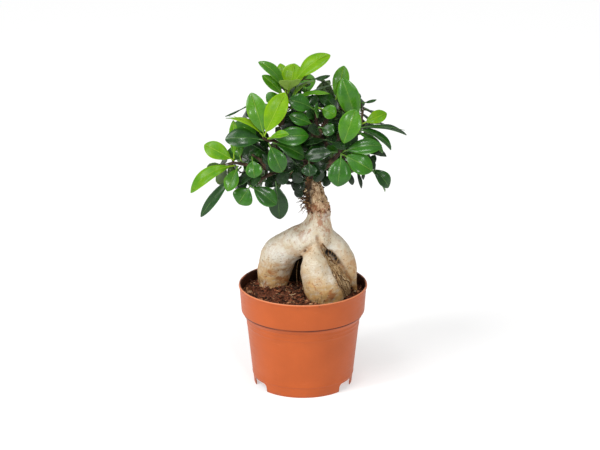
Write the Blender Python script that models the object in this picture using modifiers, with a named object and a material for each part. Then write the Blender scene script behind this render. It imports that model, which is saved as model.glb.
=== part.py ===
"""A grafted fig bonsai with swollen roots, standing in soil in a plastic nursery pot.

The pot's axis is Z and the pot stands on Z = 0, with the plant's best side towards -Y. The
pieces are the pot, the soil, the rootstock, the grafted wood that carries the crown, and the
leaves. Run it with: blender --background --python part.py
"""

import math

import bmesh
import bpy
from mathutils import Matrix, Vector

# ---------------------------------------------------------------- driving dimensions, in metres
POT_HEIGHT = 0.097
MOUTH_RADIUS = 0.060  # the lip's outer radius
WALL = 0.0012
LIP_HEIGHT = 0.0022  # the thin bead round the mouth
LIP_PROUD = 0.0006  # how far the bead stands out from the band
BAND_HEIGHT = 0.026  # the wide band, from the mouth to its lower edge
BAND_DRAFT = 0.0018  # how much the band narrows on its way down
SHOULDER_DROP = 0.008  # the slanted step from the band in to the body
SHOULDER_STEP = 0.0046
BODY_TAPER = 0.0066  # how much the body narrows from the shoulder to the table
FLOOR_HEIGHT = 0.0065  # the floor's underside above the table
FLOOR_THICKNESS = 0.0015
NOTCH_COUNT = 3  # drain notches through the foot
NOTCH_WIDTH = 0.021
NOTCH_HEIGHT = 0.0088
NOTCH_DEPTH = 0.009  # how far a notch reaches in from the outer wall
NOTCH_START = 90.0  # degrees from +X to the first notch
DRAIN_COUNT = 6  # round drain holes in the floor
DRAIN_RADIUS = 0.0035
DRAIN_RING = 0.022

SOIL_DROP = 0.009  # the soil's edge below the mouth
SOIL_MOUND = 0.002  # how much higher the soil is at the middle
CLEARANCE = 0.0003  # between pieces that touch

ROOT_VOXEL = 0.0022
ROOT_DETAIL = 0.14  # the share of the remeshed faces that is kept
TWIG_SIDES = 8
LEAF_THICKNESS = 0.0007
STALK_WIDTH = 0.0015
STALK_LENGTH = 0.004
LEAF_TIP_WIDTH = 0.0016
LEAF_FOLD = 14.0  # degrees that each half rises from the midrib
LEAF_SPANS = 7  # lengthwise divisions of a leaf
LIMB_STEP = 0.011  # between the rings of a limb

# The crown spreads further to the left and to the back than to the right and the front. The row's
# origin is under the middle of the whole spread, so the pot's axis stands this far to the side of it.
AXIS_ASIDE = (0.0041, -0.0084)

MM = 0.001
SOIL_LEVEL = POT_HEIGHT - SOIL_DROP
BODY_RADIUS = MOUTH_RADIUS - LIP_PROUD - BAND_DRAFT - SHOULDER_STEP
FOOT_RADIUS = BODY_RADIUS - BODY_TAPER
MOUTH_INSIDE = MOUTH_RADIUS - LIP_PROUD - WALL

# ------------------------------------------------------------------------------- the tree's plan
# Roots start at the crown of the rootstock and end below the soil. Each point is its heading in
# degrees (0 is +X, 90 is the back), its reach as a share of the pot's inside radius, then its
# height over the soil and its own radius in millimetres.
ROOTS = {
    "left": (
        (120, 0.06, 50, 16),
        (155, 0.26, 43, 15.5),
        (153, 0.43, 33, 17.5),
        (152, 0.52, 19, 16.5),
        (152, 0.54, 3, 14.5),
        (152, 0.54, -16, 8),
    ),
    "middle": (
        (330, 0.17, 50, 11),
        (315, 0.24, 44, 8.5),
        (302, 0.33, 37, 11.5),
        (304, 0.38, 26, 15.5),
        (312, 0.45, 13, 18),
        (320, 0.50, 3, 16.5),
        (326, 0.52, -14, 9),
    ),
    "right": (
        (10, 0.25, 52, 14),
        (5, 0.43, 48, 12),
        (2, 0.58, 40, 11.5),
        (1, 0.67, 30, 10.5),
        (0, 0.75, 21, 8),
        (0, 0.79, 12, 5),
        (0, 0.84, 3, 3.6),
        (0, 0.84, -12, 3),
    ),
    "inner": (
        (10, 0.24, 46, 9),
        (358, 0.42, 33, 8),
        (350, 0.57, 21, 8.5),
        (346, 0.66, 8, 7.5),
        (346, 0.67, -10, 5),
    ),
    "back": (
        (80, 0.20, 46, 14),
        (94, 0.40, 33, 14),
        (98, 0.52, 16, 13),
        (98, 0.54, -14, 8),
    ),
    "back_right": (
        (30, 0.28, 50, 12),
        (36, 0.54, 36, 10),
        (36, 0.70, 18, 8),
        (36, 0.76, -12, 5),
    ),
}

# The trunk over the roots and the wood grafted on it: x and y in millimetres from the pot's
# axis, height over the soil, and radius. A limb starts inside the one that carries it.
TRUNK = (
    (10, 0, 52, 18),
    (13, 0, 62, 15),
    (14, 0, 70, 12),
    (14.5, 0, 79, 10.6),
    (13.5, 0, 87, 10),
    (11.5, 0, 97, 9.1),
    (8.5, 0, 107, 8),
)
KNOBS = ((24, -2, 85, 3), (2, -4, 88, 3), (15, -7, 92, 3.4), (5, 8, 96, 3))

LIMBS = {
    "leader": ((7, 0, 108, 5.5), (8, -3, 126, 4.8), (11, -6, 148, 3.2), (12, -10, 168, 2), (12, -14, 183, 1.2)),
    "crown": (
        (8, -3, 124, 4),
        (-4, -3, 138, 3.6),
        (-17, -6, 153, 3),
        (-20, -8, 165, 2.6),
        (-15, -6, 181, 2),
        (-14, -5, 198, 1.2),
    ),
    "left_front": ((-16, -6, 150, 2.6), (-23, -17, 153, 2.1), (-31, -29, 156, 1.6), (-36, -35, 160, 1.2)),
    "left_low": ((7, 0, 111, 4.6), (-12, -6, 119, 3.6), (-32, -12, 125, 2.6), (-52, -18, 130, 1.8), (-63, -21, 133, 1.2)),
    "left_bud": ((-32, -12, 125, 2), (-40, -23, 137, 1.5), (-46, -29, 143, 1.2)),
    "left_drop": ((-24, -10, 122, 2.2), (-36, -19, 118, 1.7), (-49, -26, 115, 1.2)),
    "low_front": ((5, -1, 112, 3), (-12, -14, 117, 1.8), (-25, -22, 118, 1.2)),
    "right": ((10, -5, 136, 3.6), (24, -3, 147, 2.8), (40, -4, 158, 1.9), (53, -6, 165, 1.2)),
    "right_top": ((11, -6, 148, 2.8), (18, -3, 162, 2), (26, -1, 175, 1.5), (31, 0, 183, 1.2)),
    "right_front": ((8, -3, 118, 4.4), (20, -14, 127, 3), (29, -26, 139, 2), (35, -34, 149, 1.2)),
    "right_low": ((20, -14, 127, 2.4), (40, -13, 131, 1.8), (54, -14, 131, 1.4), (62, -15, 129, 1.2)),
    "heart": ((11, -6, 148, 2), (12, -15, 158, 1.5), (12, -19, 168, 1.2)),
    "heart_low": ((7, -2, 118, 3.2), (5, -12, 128, 1.8), (5, -24, 139, 1.2)),
    "back_right": ((8, -3, 126, 3.6), (14, 16, 139, 2.7), (24, 32, 148, 1.9), (30, 42, 152, 1.2)),
    "back_left": ((-4, -3, 138, 3), (-12, 16, 148, 2.4), (-22, 32, 154, 1.7), (-26, 42, 156, 1.2)),
    "back_top": ((11, -6, 148, 2.6), (6, 12, 166, 2), (3, 24, 177, 1.5), (2, 30, 181, 1.2)),
    "side_left": ((-12, -6, 119, 2.6), (-22, 12, 131, 2), (-36, 26, 138, 1.2)),
    "side_right": ((24, -3, 147, 2.4), (36, 14, 146, 1.8), (46, 24, 144, 1.2)),
    "back_low": ((7, 0, 112, 3.6), (2, 18, 117, 2.2), (-2, 32, 122, 1.2)),
}

# Leaves sit near the end of a limb. Each leaf is how far back from the limb's tip it sits, its
# heading in degrees, its climb over the horizontal, its length and width, the way its upper face
# looks (0 is the sky, 90 the front, -90 the back), its arch, and its material.
YOUNG = "leaf_young"
MATURE = "leaf_mature"
LEAVES = {
    "crown": (
        (0, 0, 43, 49, 17, 30, 6, YOUNG),
        (1, 190, 50, 37, 13, 30, 5, MATURE),
        (3, 50, 73, 26, 20, 75, 1, YOUNG),
        (5, 117, 66, 29, 11, 60, 2, YOUNG),
        (8, 184, 47, 29, 11, 45, 2, MATURE),
        (11, -13, 15, 38, 13, 10, 4, YOUNG),
        (14, 35, 36, 34, 9, -10, 4, MATURE),
        (17, 14, 27, 44, 10, -10, 2, MATURE),
        (20, 40, 12, 34, 13, 30, 2, MATURE),
        (4, -80, 44, 27, 20, 0, 2, YOUNG),
    ),
    "leader": (
        (0, -24, -17, 18, 14, 55, 2, YOUNG),
        (2, 202, 26, 27, 17, 50, 3, MATURE),
        (5, -95, 30, 18, 14, 60, 2, MATURE),
    ),
    "heart": (
        (0, 200, 26, 26, 12, 60, 2, MATURE),
        (2, -27, -10, 16, 13, 55, 2, MATURE),
    ),
    "left_front": (
        (0, 18, 63, 44, 19, 70, 3, YOUNG),
        (2.5, 153, 71, 42, 18, 70, 4, MATURE),
        (3.5, 184, 36, 36, 9, 15, 5, YOUNG),
        (4, -30, 21, 23, 8, 40, 2, YOUNG),
        (6, 3, 5, 36, 18, 55, 3, MATURE),
        (5, 190, 5, 36, 19, 50, 4, MATURE),
        (8, -28, -62, 30, 17, 60, 3, MATURE),
        (11, 15, -27, 36, 15, 50, 3, MATURE),
        (10, 154, 22, 45, 10, -20, 4, MATURE),
    ),
    "left_low": (
        (0, 95, 80, 37, 8, 70, 4, YOUNG),
        (1, 170, 27, 32, 16, 62, 3, YOUNG),
        (3, 190, -29, 49, 14, 40, 12, YOUNG),
        (8, 192, -50, 60, 15, 60, 9, MATURE),
        (4.5, -124, -49, 26, 13, 60, 2, MATURE),
        (7, 140, 66, 19, 11, 70, 2, MATURE),
    ),
    "left_bud": ((0, -75, -62, 20, 15, 60, 2, MATURE),),
    "left_drop": (
        (2, -160, -54, 22, 20, 60, 2, MATURE),
        (0, -6, -36, 30, 17, 60, 2, MATURE),
    ),
    "low_front": ((0, -50, -80, 36, 18, 70, 2, MATURE),),
    "right": (
        (3, 190, 72, 45, 20, 65, 3, MATURE),
        (0, 20, 18, 26, 12, 65, 1, YOUNG),
        (4, -8, -1, 45, 11, 8, 3, MATURE),
        (7.5, -20, -21, 39, 12, 10, 6, MATURE),
        (10, -23, -27, 35, 11, 10, 4, MATURE),
    ),
    "right_top": ((0, 46, 70, 34, 15, 60, 2, MATURE),),
    "right_front": (
        (0, 18, 70, 37, 20, 70, 3, MATURE),
        (3, 7, 8, 36, 17, 40, 3, MATURE),
        (5, -13, -26, 32, 19, 60, 3, MATURE),
        (2, -107, -68, 31, 21, 70, 3, MATURE),
        (5, 176, -9, 30, 15, 55, 3, MATURE),
    ),
    "right_low": (
        (0, -21, -44, 26, 13, 45, 5, MATURE),
        (4, 7, -54, 32, 9, 10, 3, MATURE),
    ),
    "heart_low": ((0, -80, -60, 16, 14, 60, 1, MATURE),),
    "back_right": (
        (0, 60, 15, 40, 19, -15, 3, MATURE),
        (4, 40, -20, 34, 18, -10, 4, MATURE),
    ),
    "back_left": (
        (0, 120, 12, 38, 19, -15, 3, MATURE),
        (4, 135, -28, 33, 18, -10, 4, MATURE),
    ),
    "back_top": ((0, 95, 26, 38, 20, -20, 3, MATURE),),
    "side_left": ((0, 145, 8, 35, 18, -5, 4, MATURE),),
    "side_right": ((0, 50, 10, 31, 17, 5, 4, MATURE),),
    "back_low": ((0, 95, -8, 34, 18, -10, 4, MATURE),),
}

COLOURS = {
    "pot": ((0.62, 0.16, 0.05), 0.38),
    "soil": ((0.05, 0.022, 0.012), 0.95),
    "rootstock": ((0.60, 0.50, 0.36), 0.75),
    "scion_wood": ((0.16, 0.09, 0.05), 0.85),
    "leaf_young": ((0.19, 0.42, 0.02), 0.3),
    "leaf_mature": ((0.03, 0.15, 0.03), 0.25),
}


# ------------------------------------------------------------------------------- small helpers
def material(name):
    """The plain material of that name, made once."""
    found = bpy.data.materials.get(name)
    if found:
        return found
    colour, roughness = COLOURS[name]
    made = bpy.data.materials.new(name)
    made.use_nodes = True
    shader = made.node_tree.nodes["Principled BSDF"]
    shader.inputs["Base Color"].default_value = (*colour, 1.0)
    shader.inputs["Roughness"].default_value = roughness
    return made


def add_object(name, data, collection):
    """A new object holding data, in that collection."""
    made = bpy.data.objects.new(name, data)
    collection.objects.link(made)
    return made


def add_modifier(owner, kind, **settings):
    """A modifier of that kind with its settings."""
    modifier = owner.modifiers.new(kind.title(), kind)
    for key, value in settings.items():
        setattr(modifier, key, value)
    return modifier


def as_helper(owner):
    """Marks a cutter or a guide, which is no piece of the plant."""
    owner.hide_render = True
    owner.display_type = "WIRE"
    return owner


def baked_mesh(owner, name):
    """The evaluated mesh of an object, with a curve's loose caps welded on."""
    bpy.context.view_layer.update()
    graph = bpy.context.evaluated_depsgraph_get()
    mesh = bpy.data.meshes.new_from_object(owner.evaluated_get(graph))
    mesh.name = name
    work = bmesh.new()
    work.from_mesh(mesh)
    bmesh.ops.remove_doubles(work, verts=work.verts, dist=WELD)
    bmesh.ops.recalc_face_normals(work, faces=work.faces)
    work.to_mesh(mesh)
    work.free()
    return mesh


def turned(name, profile, steps, collection):
    """A profile of (radius, height) points turned once round Z."""
    work = bmesh.new()
    points = [work.verts.new((radius, 0, height)) for radius, height in profile]
    for start, end in zip(points, points[1:]):
        work.edges.new((start, end))
    mesh = bpy.data.meshes.new(name)
    work.to_mesh(mesh)
    work.free()
    made = add_object(name, mesh, collection)
    add_modifier(made, "SCREW", steps=steps, render_steps=steps, use_merge_vertices=True, merge_threshold=WELD)
    return made


WELD = 0.00005
ROUND_STEPS = 48


# ------------------------------------------------------------------------------------- the pot
def outer_wall():
    """The pot's outer (radius, height) points from the mouth down to the table."""
    band_top = MOUTH_RADIUS - LIP_PROUD
    band_foot = band_top - BAND_DRAFT
    band_low = POT_HEIGHT - BAND_HEIGHT
    return [
        (MOUTH_RADIUS, POT_HEIGHT),
        (MOUTH_RADIUS, POT_HEIGHT - LIP_HEIGHT),
        (band_top, POT_HEIGHT - LIP_HEIGHT - LIP_PROUD),
        (band_foot, band_low),
        (BODY_RADIUS, band_low - SHOULDER_DROP),
        (FOOT_RADIUS, 0.0),
    ]


def wall_radius(height):
    """The outer wall's radius at a height below the band."""
    top = POT_HEIGHT - BAND_HEIGHT - SHOULDER_DROP
    return FOOT_RADIUS + (BODY_RADIUS - FOOT_RADIUS) * height / top


def inner_wall(gap, floor):
    """The inside of the wall, drawn in by gap, from the floor up to the mouth."""
    inset = WALL + gap
    band_low = POT_HEIGHT - BAND_HEIGHT
    return [
        (wall_radius(floor) - inset, floor),
        (BODY_RADIUS - inset, band_low - SHOULDER_DROP),
        (MOUTH_INSIDE + WALL - BAND_DRAFT - inset, band_low),
        (MOUTH_INSIDE + WALL - inset, POT_HEIGHT),
    ]


def pot_cutters(collection):
    """The drain notches through the foot and the round drain holes in the floor."""
    cutters = []
    margin = 0.004
    for index in range(NOTCH_COUNT):
        bpy.ops.mesh.primitive_cube_add(size=1)
        notch = bpy.context.object
        notch.name = f"notch_cutter_{index + 1}"
        angle = math.radians(NOTCH_START + 360 * index / NOTCH_COUNT)
        reach = FOOT_RADIUS - NOTCH_DEPTH + (NOTCH_DEPTH + margin) / 2
        notch.scale = (NOTCH_DEPTH + margin, NOTCH_WIDTH, NOTCH_HEIGHT + margin)
        notch.location = (reach * math.cos(angle), reach * math.sin(angle), (NOTCH_HEIGHT - margin) / 2)
        notch.rotation_euler = (0, 0, angle)
        cutters.append(notch)
    for index in range(DRAIN_COUNT):
        angle = math.radians(360 * index / DRAIN_COUNT)
        bpy.ops.mesh.primitive_cylinder_add(
            vertices=16,
            radius=DRAIN_RADIUS,
            depth=FLOOR_THICKNESS + 2 * margin,
            location=(DRAIN_RING * math.cos(angle), DRAIN_RING * math.sin(angle), FLOOR_HEIGHT),
        )
        drain = bpy.context.object
        drain.name = f"drain_cutter_{index + 1}"
        cutters.append(drain)
    for cutter in cutters:
        move_to(cutter, collection)
        as_helper(cutter)
    return cutters


def move_to(owner, collection):
    """Moves an object that an operator made into the collection it belongs to."""
    for old in list(owner.users_collection):
        old.objects.unlink(owner)
    collection.objects.link(owner)


def make_pot(parts, cutters):
    """The thin-walled pot with its banded rim, raised floor, drain holes and notched foot."""
    floor_top = FLOOR_HEIGHT + FLOOR_THICKNESS
    profile = [(0.0, floor_top)]
    profile += inner_wall(0.0, floor_top)
    profile += outer_wall()
    profile += [
        (FOOT_RADIUS - WALL, 0.0),
        (wall_radius(FLOOR_HEIGHT) - WALL, FLOOR_HEIGHT),
        (0.0, FLOOR_HEIGHT),
    ]
    pot = turned("pot", profile, ROUND_STEPS, parts)
    for cutter in pot_cutters(cutters):
        add_modifier(pot, "BOOLEAN", operation="DIFFERENCE", object=cutter)
    pot.data.materials.append(material("pot"))
    return pot


# ------------------------------------------------------------------------- roots, soil and wood
def smooth_spine(points, step):
    """Points along a smooth curve through the given (place, radius) points, about step apart."""
    spine = []
    for index in range(len(points) - 1):
        before = points[max(index - 1, 0)]
        start, end = points[index], points[index + 1]
        after = points[min(index + 2, len(points) - 1)]
        count = max(1, round((end[0] - start[0]).length / step))
        for part in range(count):
            t = part / count
            weights = (
                (-t + 2 * t**2 - t**3) / 2,
                (2 - 5 * t**2 + 3 * t**3) / 2,
                (t + 4 * t**2 - 3 * t**3) / 2,
                (t**3 - t**2) / 2,
            )
            ends = (before, start, end, after)
            place = sum((end_[0] * weight for end_, weight in zip(ends, weights)), Vector())
            radius = sum(end_[1] * weight for end_, weight in zip(ends, weights))
            spine.append((place, radius))
    spine.append(points[-1])
    return spine


def root_points(rows):
    """A root's rows of heading, reach, height and radius as (place, radius)."""
    points = []
    for heading, reach, height, radius in rows:
        angle = math.radians(heading)
        out = reach * MOUTH_INSIDE
        place = Vector((out * math.cos(angle), out * math.sin(angle), SOIL_LEVEL + height * MM))
        points.append((place, radius * MM))
    return points


def wood_points(rows):
    """A trunk's or limb's rows of x, y, height and radius as (place, radius)."""
    return [(Vector((x * MM, y * MM, SOIL_LEVEL + height * MM)), radius * MM) for x, y, height, radius in rows]


def add_beads(work, spine):
    """A ball at every point of a spine, close enough to melt into one limb."""
    for place, radius in spine:
        size = Matrix.Translation(place) @ Matrix.Diagonal((radius, radius, radius, 1))
        bmesh.ops.create_icosphere(work, subdivisions=2, radius=1.0, matrix=size)


def make_rootstock(parts):
    """The swollen roots and the trunk over them, grown as one piece."""
    work = bmesh.new()
    bead_step = 0.004
    for rows in ROOTS.values():
        add_beads(work, smooth_spine(root_points(rows), bead_step))
    add_beads(work, smooth_spine(wood_points(TRUNK), bead_step))
    add_beads(work, wood_points(KNOBS))
    mesh = bpy.data.meshes.new("rootstock")
    work.to_mesh(mesh)
    work.free()
    rootstock = add_object("rootstock", mesh, parts)
    add_modifier(rootstock, "REMESH", mode="VOXEL", voxel_size=ROOT_VOXEL)
    add_modifier(rootstock, "SMOOTH", factor=0.5, iterations=8)
    add_modifier(rootstock, "DECIMATE", ratio=ROOT_DETAIL)
    mesh.materials.append(material("rootstock"))
    return rootstock


def make_root_cutter(rootstock, cutters):
    """The rootstock's own shape grown by the clearance, for what sits against it."""
    cutter = add_object("rootstock_cutter", baked_mesh(rootstock, "rootstock_cutter"), cutters)
    add_modifier(cutter, "DISPLACE", strength=2 * CLEARANCE, mid_level=0.0)
    return as_helper(cutter)


def make_soil(parts, root_cutter):
    """The soil that fills the pot, a little mounded, with the roots' beds cut in it."""
    floor_top = FLOOR_HEIGHT + FLOOR_THICKNESS + CLEARANCE
    side = inner_wall(CLEARANCE, floor_top)
    low, high = side[-2], side[-1]
    share = (SOIL_LEVEL - low[1]) / (high[1] - low[1])
    edge = low[0] + (high[0] - low[0]) * share
    profile = [(0.0, SOIL_LEVEL + SOIL_MOUND), (edge * 0.6, SOIL_LEVEL + SOIL_MOUND / 2), (edge, SOIL_LEVEL)]
    profile += [*reversed(side[:-1]), (0.0, floor_top)]
    soil = turned("soil", profile, ROUND_STEPS, parts)
    add_modifier(soil, "BOOLEAN", operation="DIFFERENCE", object=root_cutter)
    soil.data.materials.append(material("soil"))
    return soil


def limb_tube(name, points, collection):
    """A tapering limb as a closed tube along its smooth spine."""
    curve = bpy.data.curves.new(name, "CURVE")
    curve.dimensions = "3D"
    curve.bevel_depth = 1.0
    curve.bevel_resolution = TWIG_SIDES // 2 - 2
    curve.use_fill_caps = True
    spine = smooth_spine(points, LIMB_STEP)
    spline = curve.splines.new("POLY")
    spline.points.add(len(spine) - 1)
    for point, (place, radius) in zip(spline.points, spine):
        point.co = (*place, 1.0)
        point.radius = radius
    guide = add_object(name + "_guide", curve, collection)
    tube = add_object(name, baked_mesh(guide, name), collection)
    bpy.data.objects.remove(guide)
    return tube


def make_scion_wood(parts, cutters, root_cutter):
    """The grafted wood: every limb joined into one, seated on the rootstock's top."""
    limbs = bpy.data.collections.new("limbs_to_join")
    cutters.children.link(limbs)
    tubes = [limb_tube("limb_" + name, wood_points(rows), limbs) for name, rows in LIMBS.items()]
    for tube in tubes:
        as_helper(tube)
    wood = add_object("scion_wood", tubes[0].data.copy(), parts)
    limbs.objects.unlink(tubes[0])
    bpy.data.objects.remove(tubes[0])
    add_modifier(wood, "BOOLEAN", operation="UNION", operand_type="COLLECTION", collection=limbs)
    add_modifier(wood, "BOOLEAN", operation="DIFFERENCE", object=root_cutter)
    wood.data.materials.append(material("scion_wood"))
    return wood


# ---------------------------------------------------------------------------------- the leaves
def blade_half_width(share, width):
    """Half the blade's width at a share of its length, widest just past the middle."""
    return width / 2 * math.sin(math.pi * share**1.2) ** 0.65


def leaf_mesh(name, length, width, arch):
    """A leaf along +X with its upper face to +Z: a stalk, then a folded and arched blade."""
    work = bmesh.new()
    bmesh.ops.create_grid(work, x_segments=LEAF_SPANS, y_segments=2, size=1.0)
    fold = math.radians(LEAF_FOLD)
    blade = length - STALK_LENGTH
    for vertex in work.verts:
        station = round((vertex.co.x + 1) / 2 * LEAF_SPANS)
        side = round(vertex.co.y)
        share = 1 - (1 - max(station - 1, 0) / (LEAF_SPANS - 1)) ** 1.4
        along = STALK_LENGTH + blade * share if station else 0.0
        half = max(blade_half_width(share, width), STALK_WIDTH / 2)
        if station == LEAF_SPANS:
            half = LEAF_TIP_WIDTH / 2
        rise = 4 * arch * (along / length) * (1 - along / length)
        folded = (half - STALK_WIDTH / 2) * math.sin(fold)
        vertex.co = (along, side * half * math.cos(fold), rise + abs(side) * folded)
    mesh = bpy.data.meshes.new(name)
    work.to_mesh(mesh)
    work.free()
    return mesh


def leaf_axes(heading, climb, facing):
    """The leaf's own axes: along the midrib, across the blade, and out of its upper face."""
    turn, rise, look = (math.radians(angle) for angle in (heading, climb, facing))
    along = Vector((math.cos(rise) * math.cos(turn), math.cos(rise) * math.sin(turn), math.sin(rise)))
    upper = Vector((0, -math.sin(look), math.cos(look)))
    upper = (upper - along * upper.dot(along)).normalized()
    return along, upper.cross(along), upper


def along_limb(spine, back):
    """The place, the radius and the direction of a limb, back from its tip."""
    left = back
    for (outer, outer_radius), (inner, inner_radius) in zip(spine[::-1], spine[-2::-1]):
        span = (inner - outer).length
        if left <= span:
            break
        left -= span
    share = min(left / span, 1.0)
    radius = outer_radius + (inner_radius - outer_radius) * share
    return outer.lerp(inner, share), radius, (outer - inner).normalized()


def leaf_foot(spine, back, along):
    """Where a leaf's stalk meets its limb: on the skin, on the side that the leaf points to."""
    place, radius, axis = along_limb(spine, back)
    side = along - axis * along.dot(axis)
    side = side.normalized() if side.length > WELD else axis.orthogonal().normalized()
    return place + side * (radius + CLEARANCE + STALK_WIDTH / 2)


def make_leaves(parts):
    """Every leaf, each its own object, seated near the end of its limb."""
    for limb, rows in LEAVES.items():
        spine = smooth_spine(wood_points(LIMBS[limb]), LIMB_STEP)
        for order, (back, heading, climb, length, width, facing, arch, age) in enumerate(rows):
            name = f"leaf_{limb}_{order + 1}"
            along, across, upper = leaf_axes(heading, climb, facing)
            leaf = add_object(name, leaf_mesh(name, length * MM, width * MM, arch * MM), parts)
            place = Matrix((along, across, upper)).transposed().to_4x4()
            place.translation = leaf_foot(spine, back * MM, along)
            leaf.matrix_world = place
            add_modifier(leaf, "SOLIDIFY", thickness=LEAF_THICKNESS, offset=0.0)
            leaf.data.materials.append(material(age))


def main():
    for old in list(bpy.data.objects):
        bpy.data.objects.remove(old)
    parts = bpy.data.collections.new("potted_fig_bonsai")
    cutters = bpy.data.collections.new("cutters")
    bpy.context.scene.collection.children.link(parts)
    bpy.context.scene.collection.children.link(cutters)
    make_pot(parts, cutters)
    rootstock = make_rootstock(parts)
    root_cutter = make_root_cutter(rootstock, cutters)
    make_soil(parts, root_cutter)
    make_scion_wood(parts, cutters, root_cutter)
    make_leaves(parts)
    for owner in bpy.data.objects:
        owner.location.x += AXIS_ASIDE[0]
        owner.location.y += AXIS_ASIDE[1]


main()
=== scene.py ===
"""A grafted fig bonsai in a plastic nursery pot, built around its packed parts.

The pot is spun from a profile, the roots and the wood are grown finer from the packed solids, and every
leaf is laid again on its own packed leaf, with more leaves on short twigs inside the crown.
"""

import math
import random

import bmesh
import bpy
from bpy.props import FloatProperty, FloatVectorProperty, IntProperty, PointerProperty
from mathutils import Matrix, Vector, noise
from mathutils.bvhtree import BVHTree
from mathutils.kdtree import KDTree


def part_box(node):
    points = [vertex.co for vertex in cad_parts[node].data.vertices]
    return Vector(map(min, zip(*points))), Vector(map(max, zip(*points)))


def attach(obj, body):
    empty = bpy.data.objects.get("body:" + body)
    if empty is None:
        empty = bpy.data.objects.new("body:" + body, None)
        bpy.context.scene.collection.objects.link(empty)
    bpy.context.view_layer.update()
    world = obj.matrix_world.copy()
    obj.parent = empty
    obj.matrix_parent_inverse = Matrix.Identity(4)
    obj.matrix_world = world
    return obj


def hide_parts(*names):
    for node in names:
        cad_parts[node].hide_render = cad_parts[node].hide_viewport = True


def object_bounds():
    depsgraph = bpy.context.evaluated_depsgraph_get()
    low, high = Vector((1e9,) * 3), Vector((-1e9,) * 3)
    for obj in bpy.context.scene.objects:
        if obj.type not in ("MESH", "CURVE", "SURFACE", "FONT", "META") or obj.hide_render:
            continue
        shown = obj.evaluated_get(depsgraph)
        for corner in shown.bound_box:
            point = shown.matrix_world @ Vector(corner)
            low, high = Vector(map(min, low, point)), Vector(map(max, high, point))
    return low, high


bl_info = {
    "name": "Potted fig bonsai",
    "version": (1, 0, 0),
    "blender": (4, 5, 0),
    "location": "3D View > Sidebar > Bonsai",
    "description": "Builds a grafted fig bonsai in its nursery pot around the packed parts",
    "category": "Object",
}

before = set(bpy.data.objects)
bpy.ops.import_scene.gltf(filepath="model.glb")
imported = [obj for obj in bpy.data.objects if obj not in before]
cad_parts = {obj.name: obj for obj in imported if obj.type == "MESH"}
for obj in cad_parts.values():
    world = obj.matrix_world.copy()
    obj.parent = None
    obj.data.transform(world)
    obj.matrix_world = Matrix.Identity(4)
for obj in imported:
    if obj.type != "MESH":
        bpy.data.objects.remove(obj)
CAD_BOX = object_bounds()

MM = 0.001
WELD = 0.00001
BODY = "root"
UP = Vector((0, 0, 1))
GOLDEN_ANGLE = math.pi * (3 - math.sqrt(5))
POT_LOW, POT_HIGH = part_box("pot")
POT_TOP = POT_HIGH.z
MOUTH = (POT_HIGH.x - POT_LOW.x) / 2
GRAFT = 0.165
# Pieces are shaped round the pot's axis, then moved to where the pot stands.
AXIS = Vector(((POT_LOW.x + POT_HIGH.x) / 2, (POT_LOW.y + POT_HIGH.y) / 2, 0))


def paint(red, green, blue):
    """A colour given as 0 to 255 on a screen, as the shader wants it."""
    return tuple((((c / 255) + 0.055) / 1.055) ** 2.4 if c > 10 else c / 255 / 12.92
                 for c in (red, green, blue))


# --- sizes and colours -------------------------------------------------------------------------------


def length(name, description, default):
    return FloatProperty(name=name, description=description, default=default, unit="LENGTH", precision=5)


def colour(name, description, default):
    return FloatVectorProperty(
        name=name, description=description, default=default, size=3, min=0, max=1, subtype="COLOR"
    )


class PotSizes(bpy.types.PropertyGroup):
    """The nursery pot."""

    height: length("Height", "Table to rim", POT_TOP)
    mouth: length("Mouth radius", "Outer radius of the lip", MOUTH)
    wall: length("Wall", "Thickness of the moulded wall", 0.0012)
    lip: length("Lip height", "Height of the bead round the mouth", 0.0022)
    lip_proud: length("Lip bead", "How far the bead stands out", 0.0006)
    band: length("Band", "Height of the wide band", 0.026)
    band_draft: length("Band draft", "How much the band narrows downwards", 0.0018)
    shoulder: length("Shoulder drop", "Height of the step under the band", 0.008)
    shoulder_step: length("Shoulder step", "How far the body sits back", 0.0046)
    taper: length("Body taper", "How much the body narrows to the table", 0.0066)
    floor: length("Floor", "Height of the floor's underside", 0.0065)
    notch_width: length("Notch width", "Width of a drain notch in the foot", 0.021)
    notch_height: length("Notch height", "Height of a drain notch", 0.0080)
    colour: colour("Plastic", "Terracotta-coloured plastic", paint(181, 85, 34))


class SoilSizes(bpy.types.PropertyGroup):
    """The potting mix."""

    drop: length("Soil below the rim", "From the rim down to the mix", 0.009)
    grain: length("Roughness", "Height of the lumps in the mix", 0.0017)
    crumbs: IntProperty(name="Crumbs", description="Loose crumbs on the mix", default=2300, min=0, max=4000)
    fibres: IntProperty(name="Fibres", description="Loose fibres on the mix", default=260, min=0, max=600)
    colour: colour("Peat", "Dark brown peat", paint(66, 42, 30))
    colour_red: colour("Bark bits", "Reddish bark bits", paint(122, 66, 42))


class WoodSizes(bpy.types.PropertyGroup):
    """The roots, the trunk and the grafted wood."""

    root_grain: length("Root detail", "Size of the faces of the roots", 0.001)
    twig_grain: length("Twig detail", "Size of the faces of the twigs", 0.0006)
    graft: length("Graft height", "Where smooth root turns to rough bark", GRAFT)
    cream: colour("Root skin", "Pale skin of the swollen roots", paint(205, 194, 170))
    tan: colour("Root tan", "Weathered patches", paint(184, 150, 112))
    rust: colour("Root rust", "Orange-brown patches near the soil", paint(160, 92, 48))
    bark: colour("Bark", "Rough bark over the graft", paint(136, 104, 76))
    twig: colour("Twig", "Bark of the thin twigs", paint(60, 42, 31))


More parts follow.
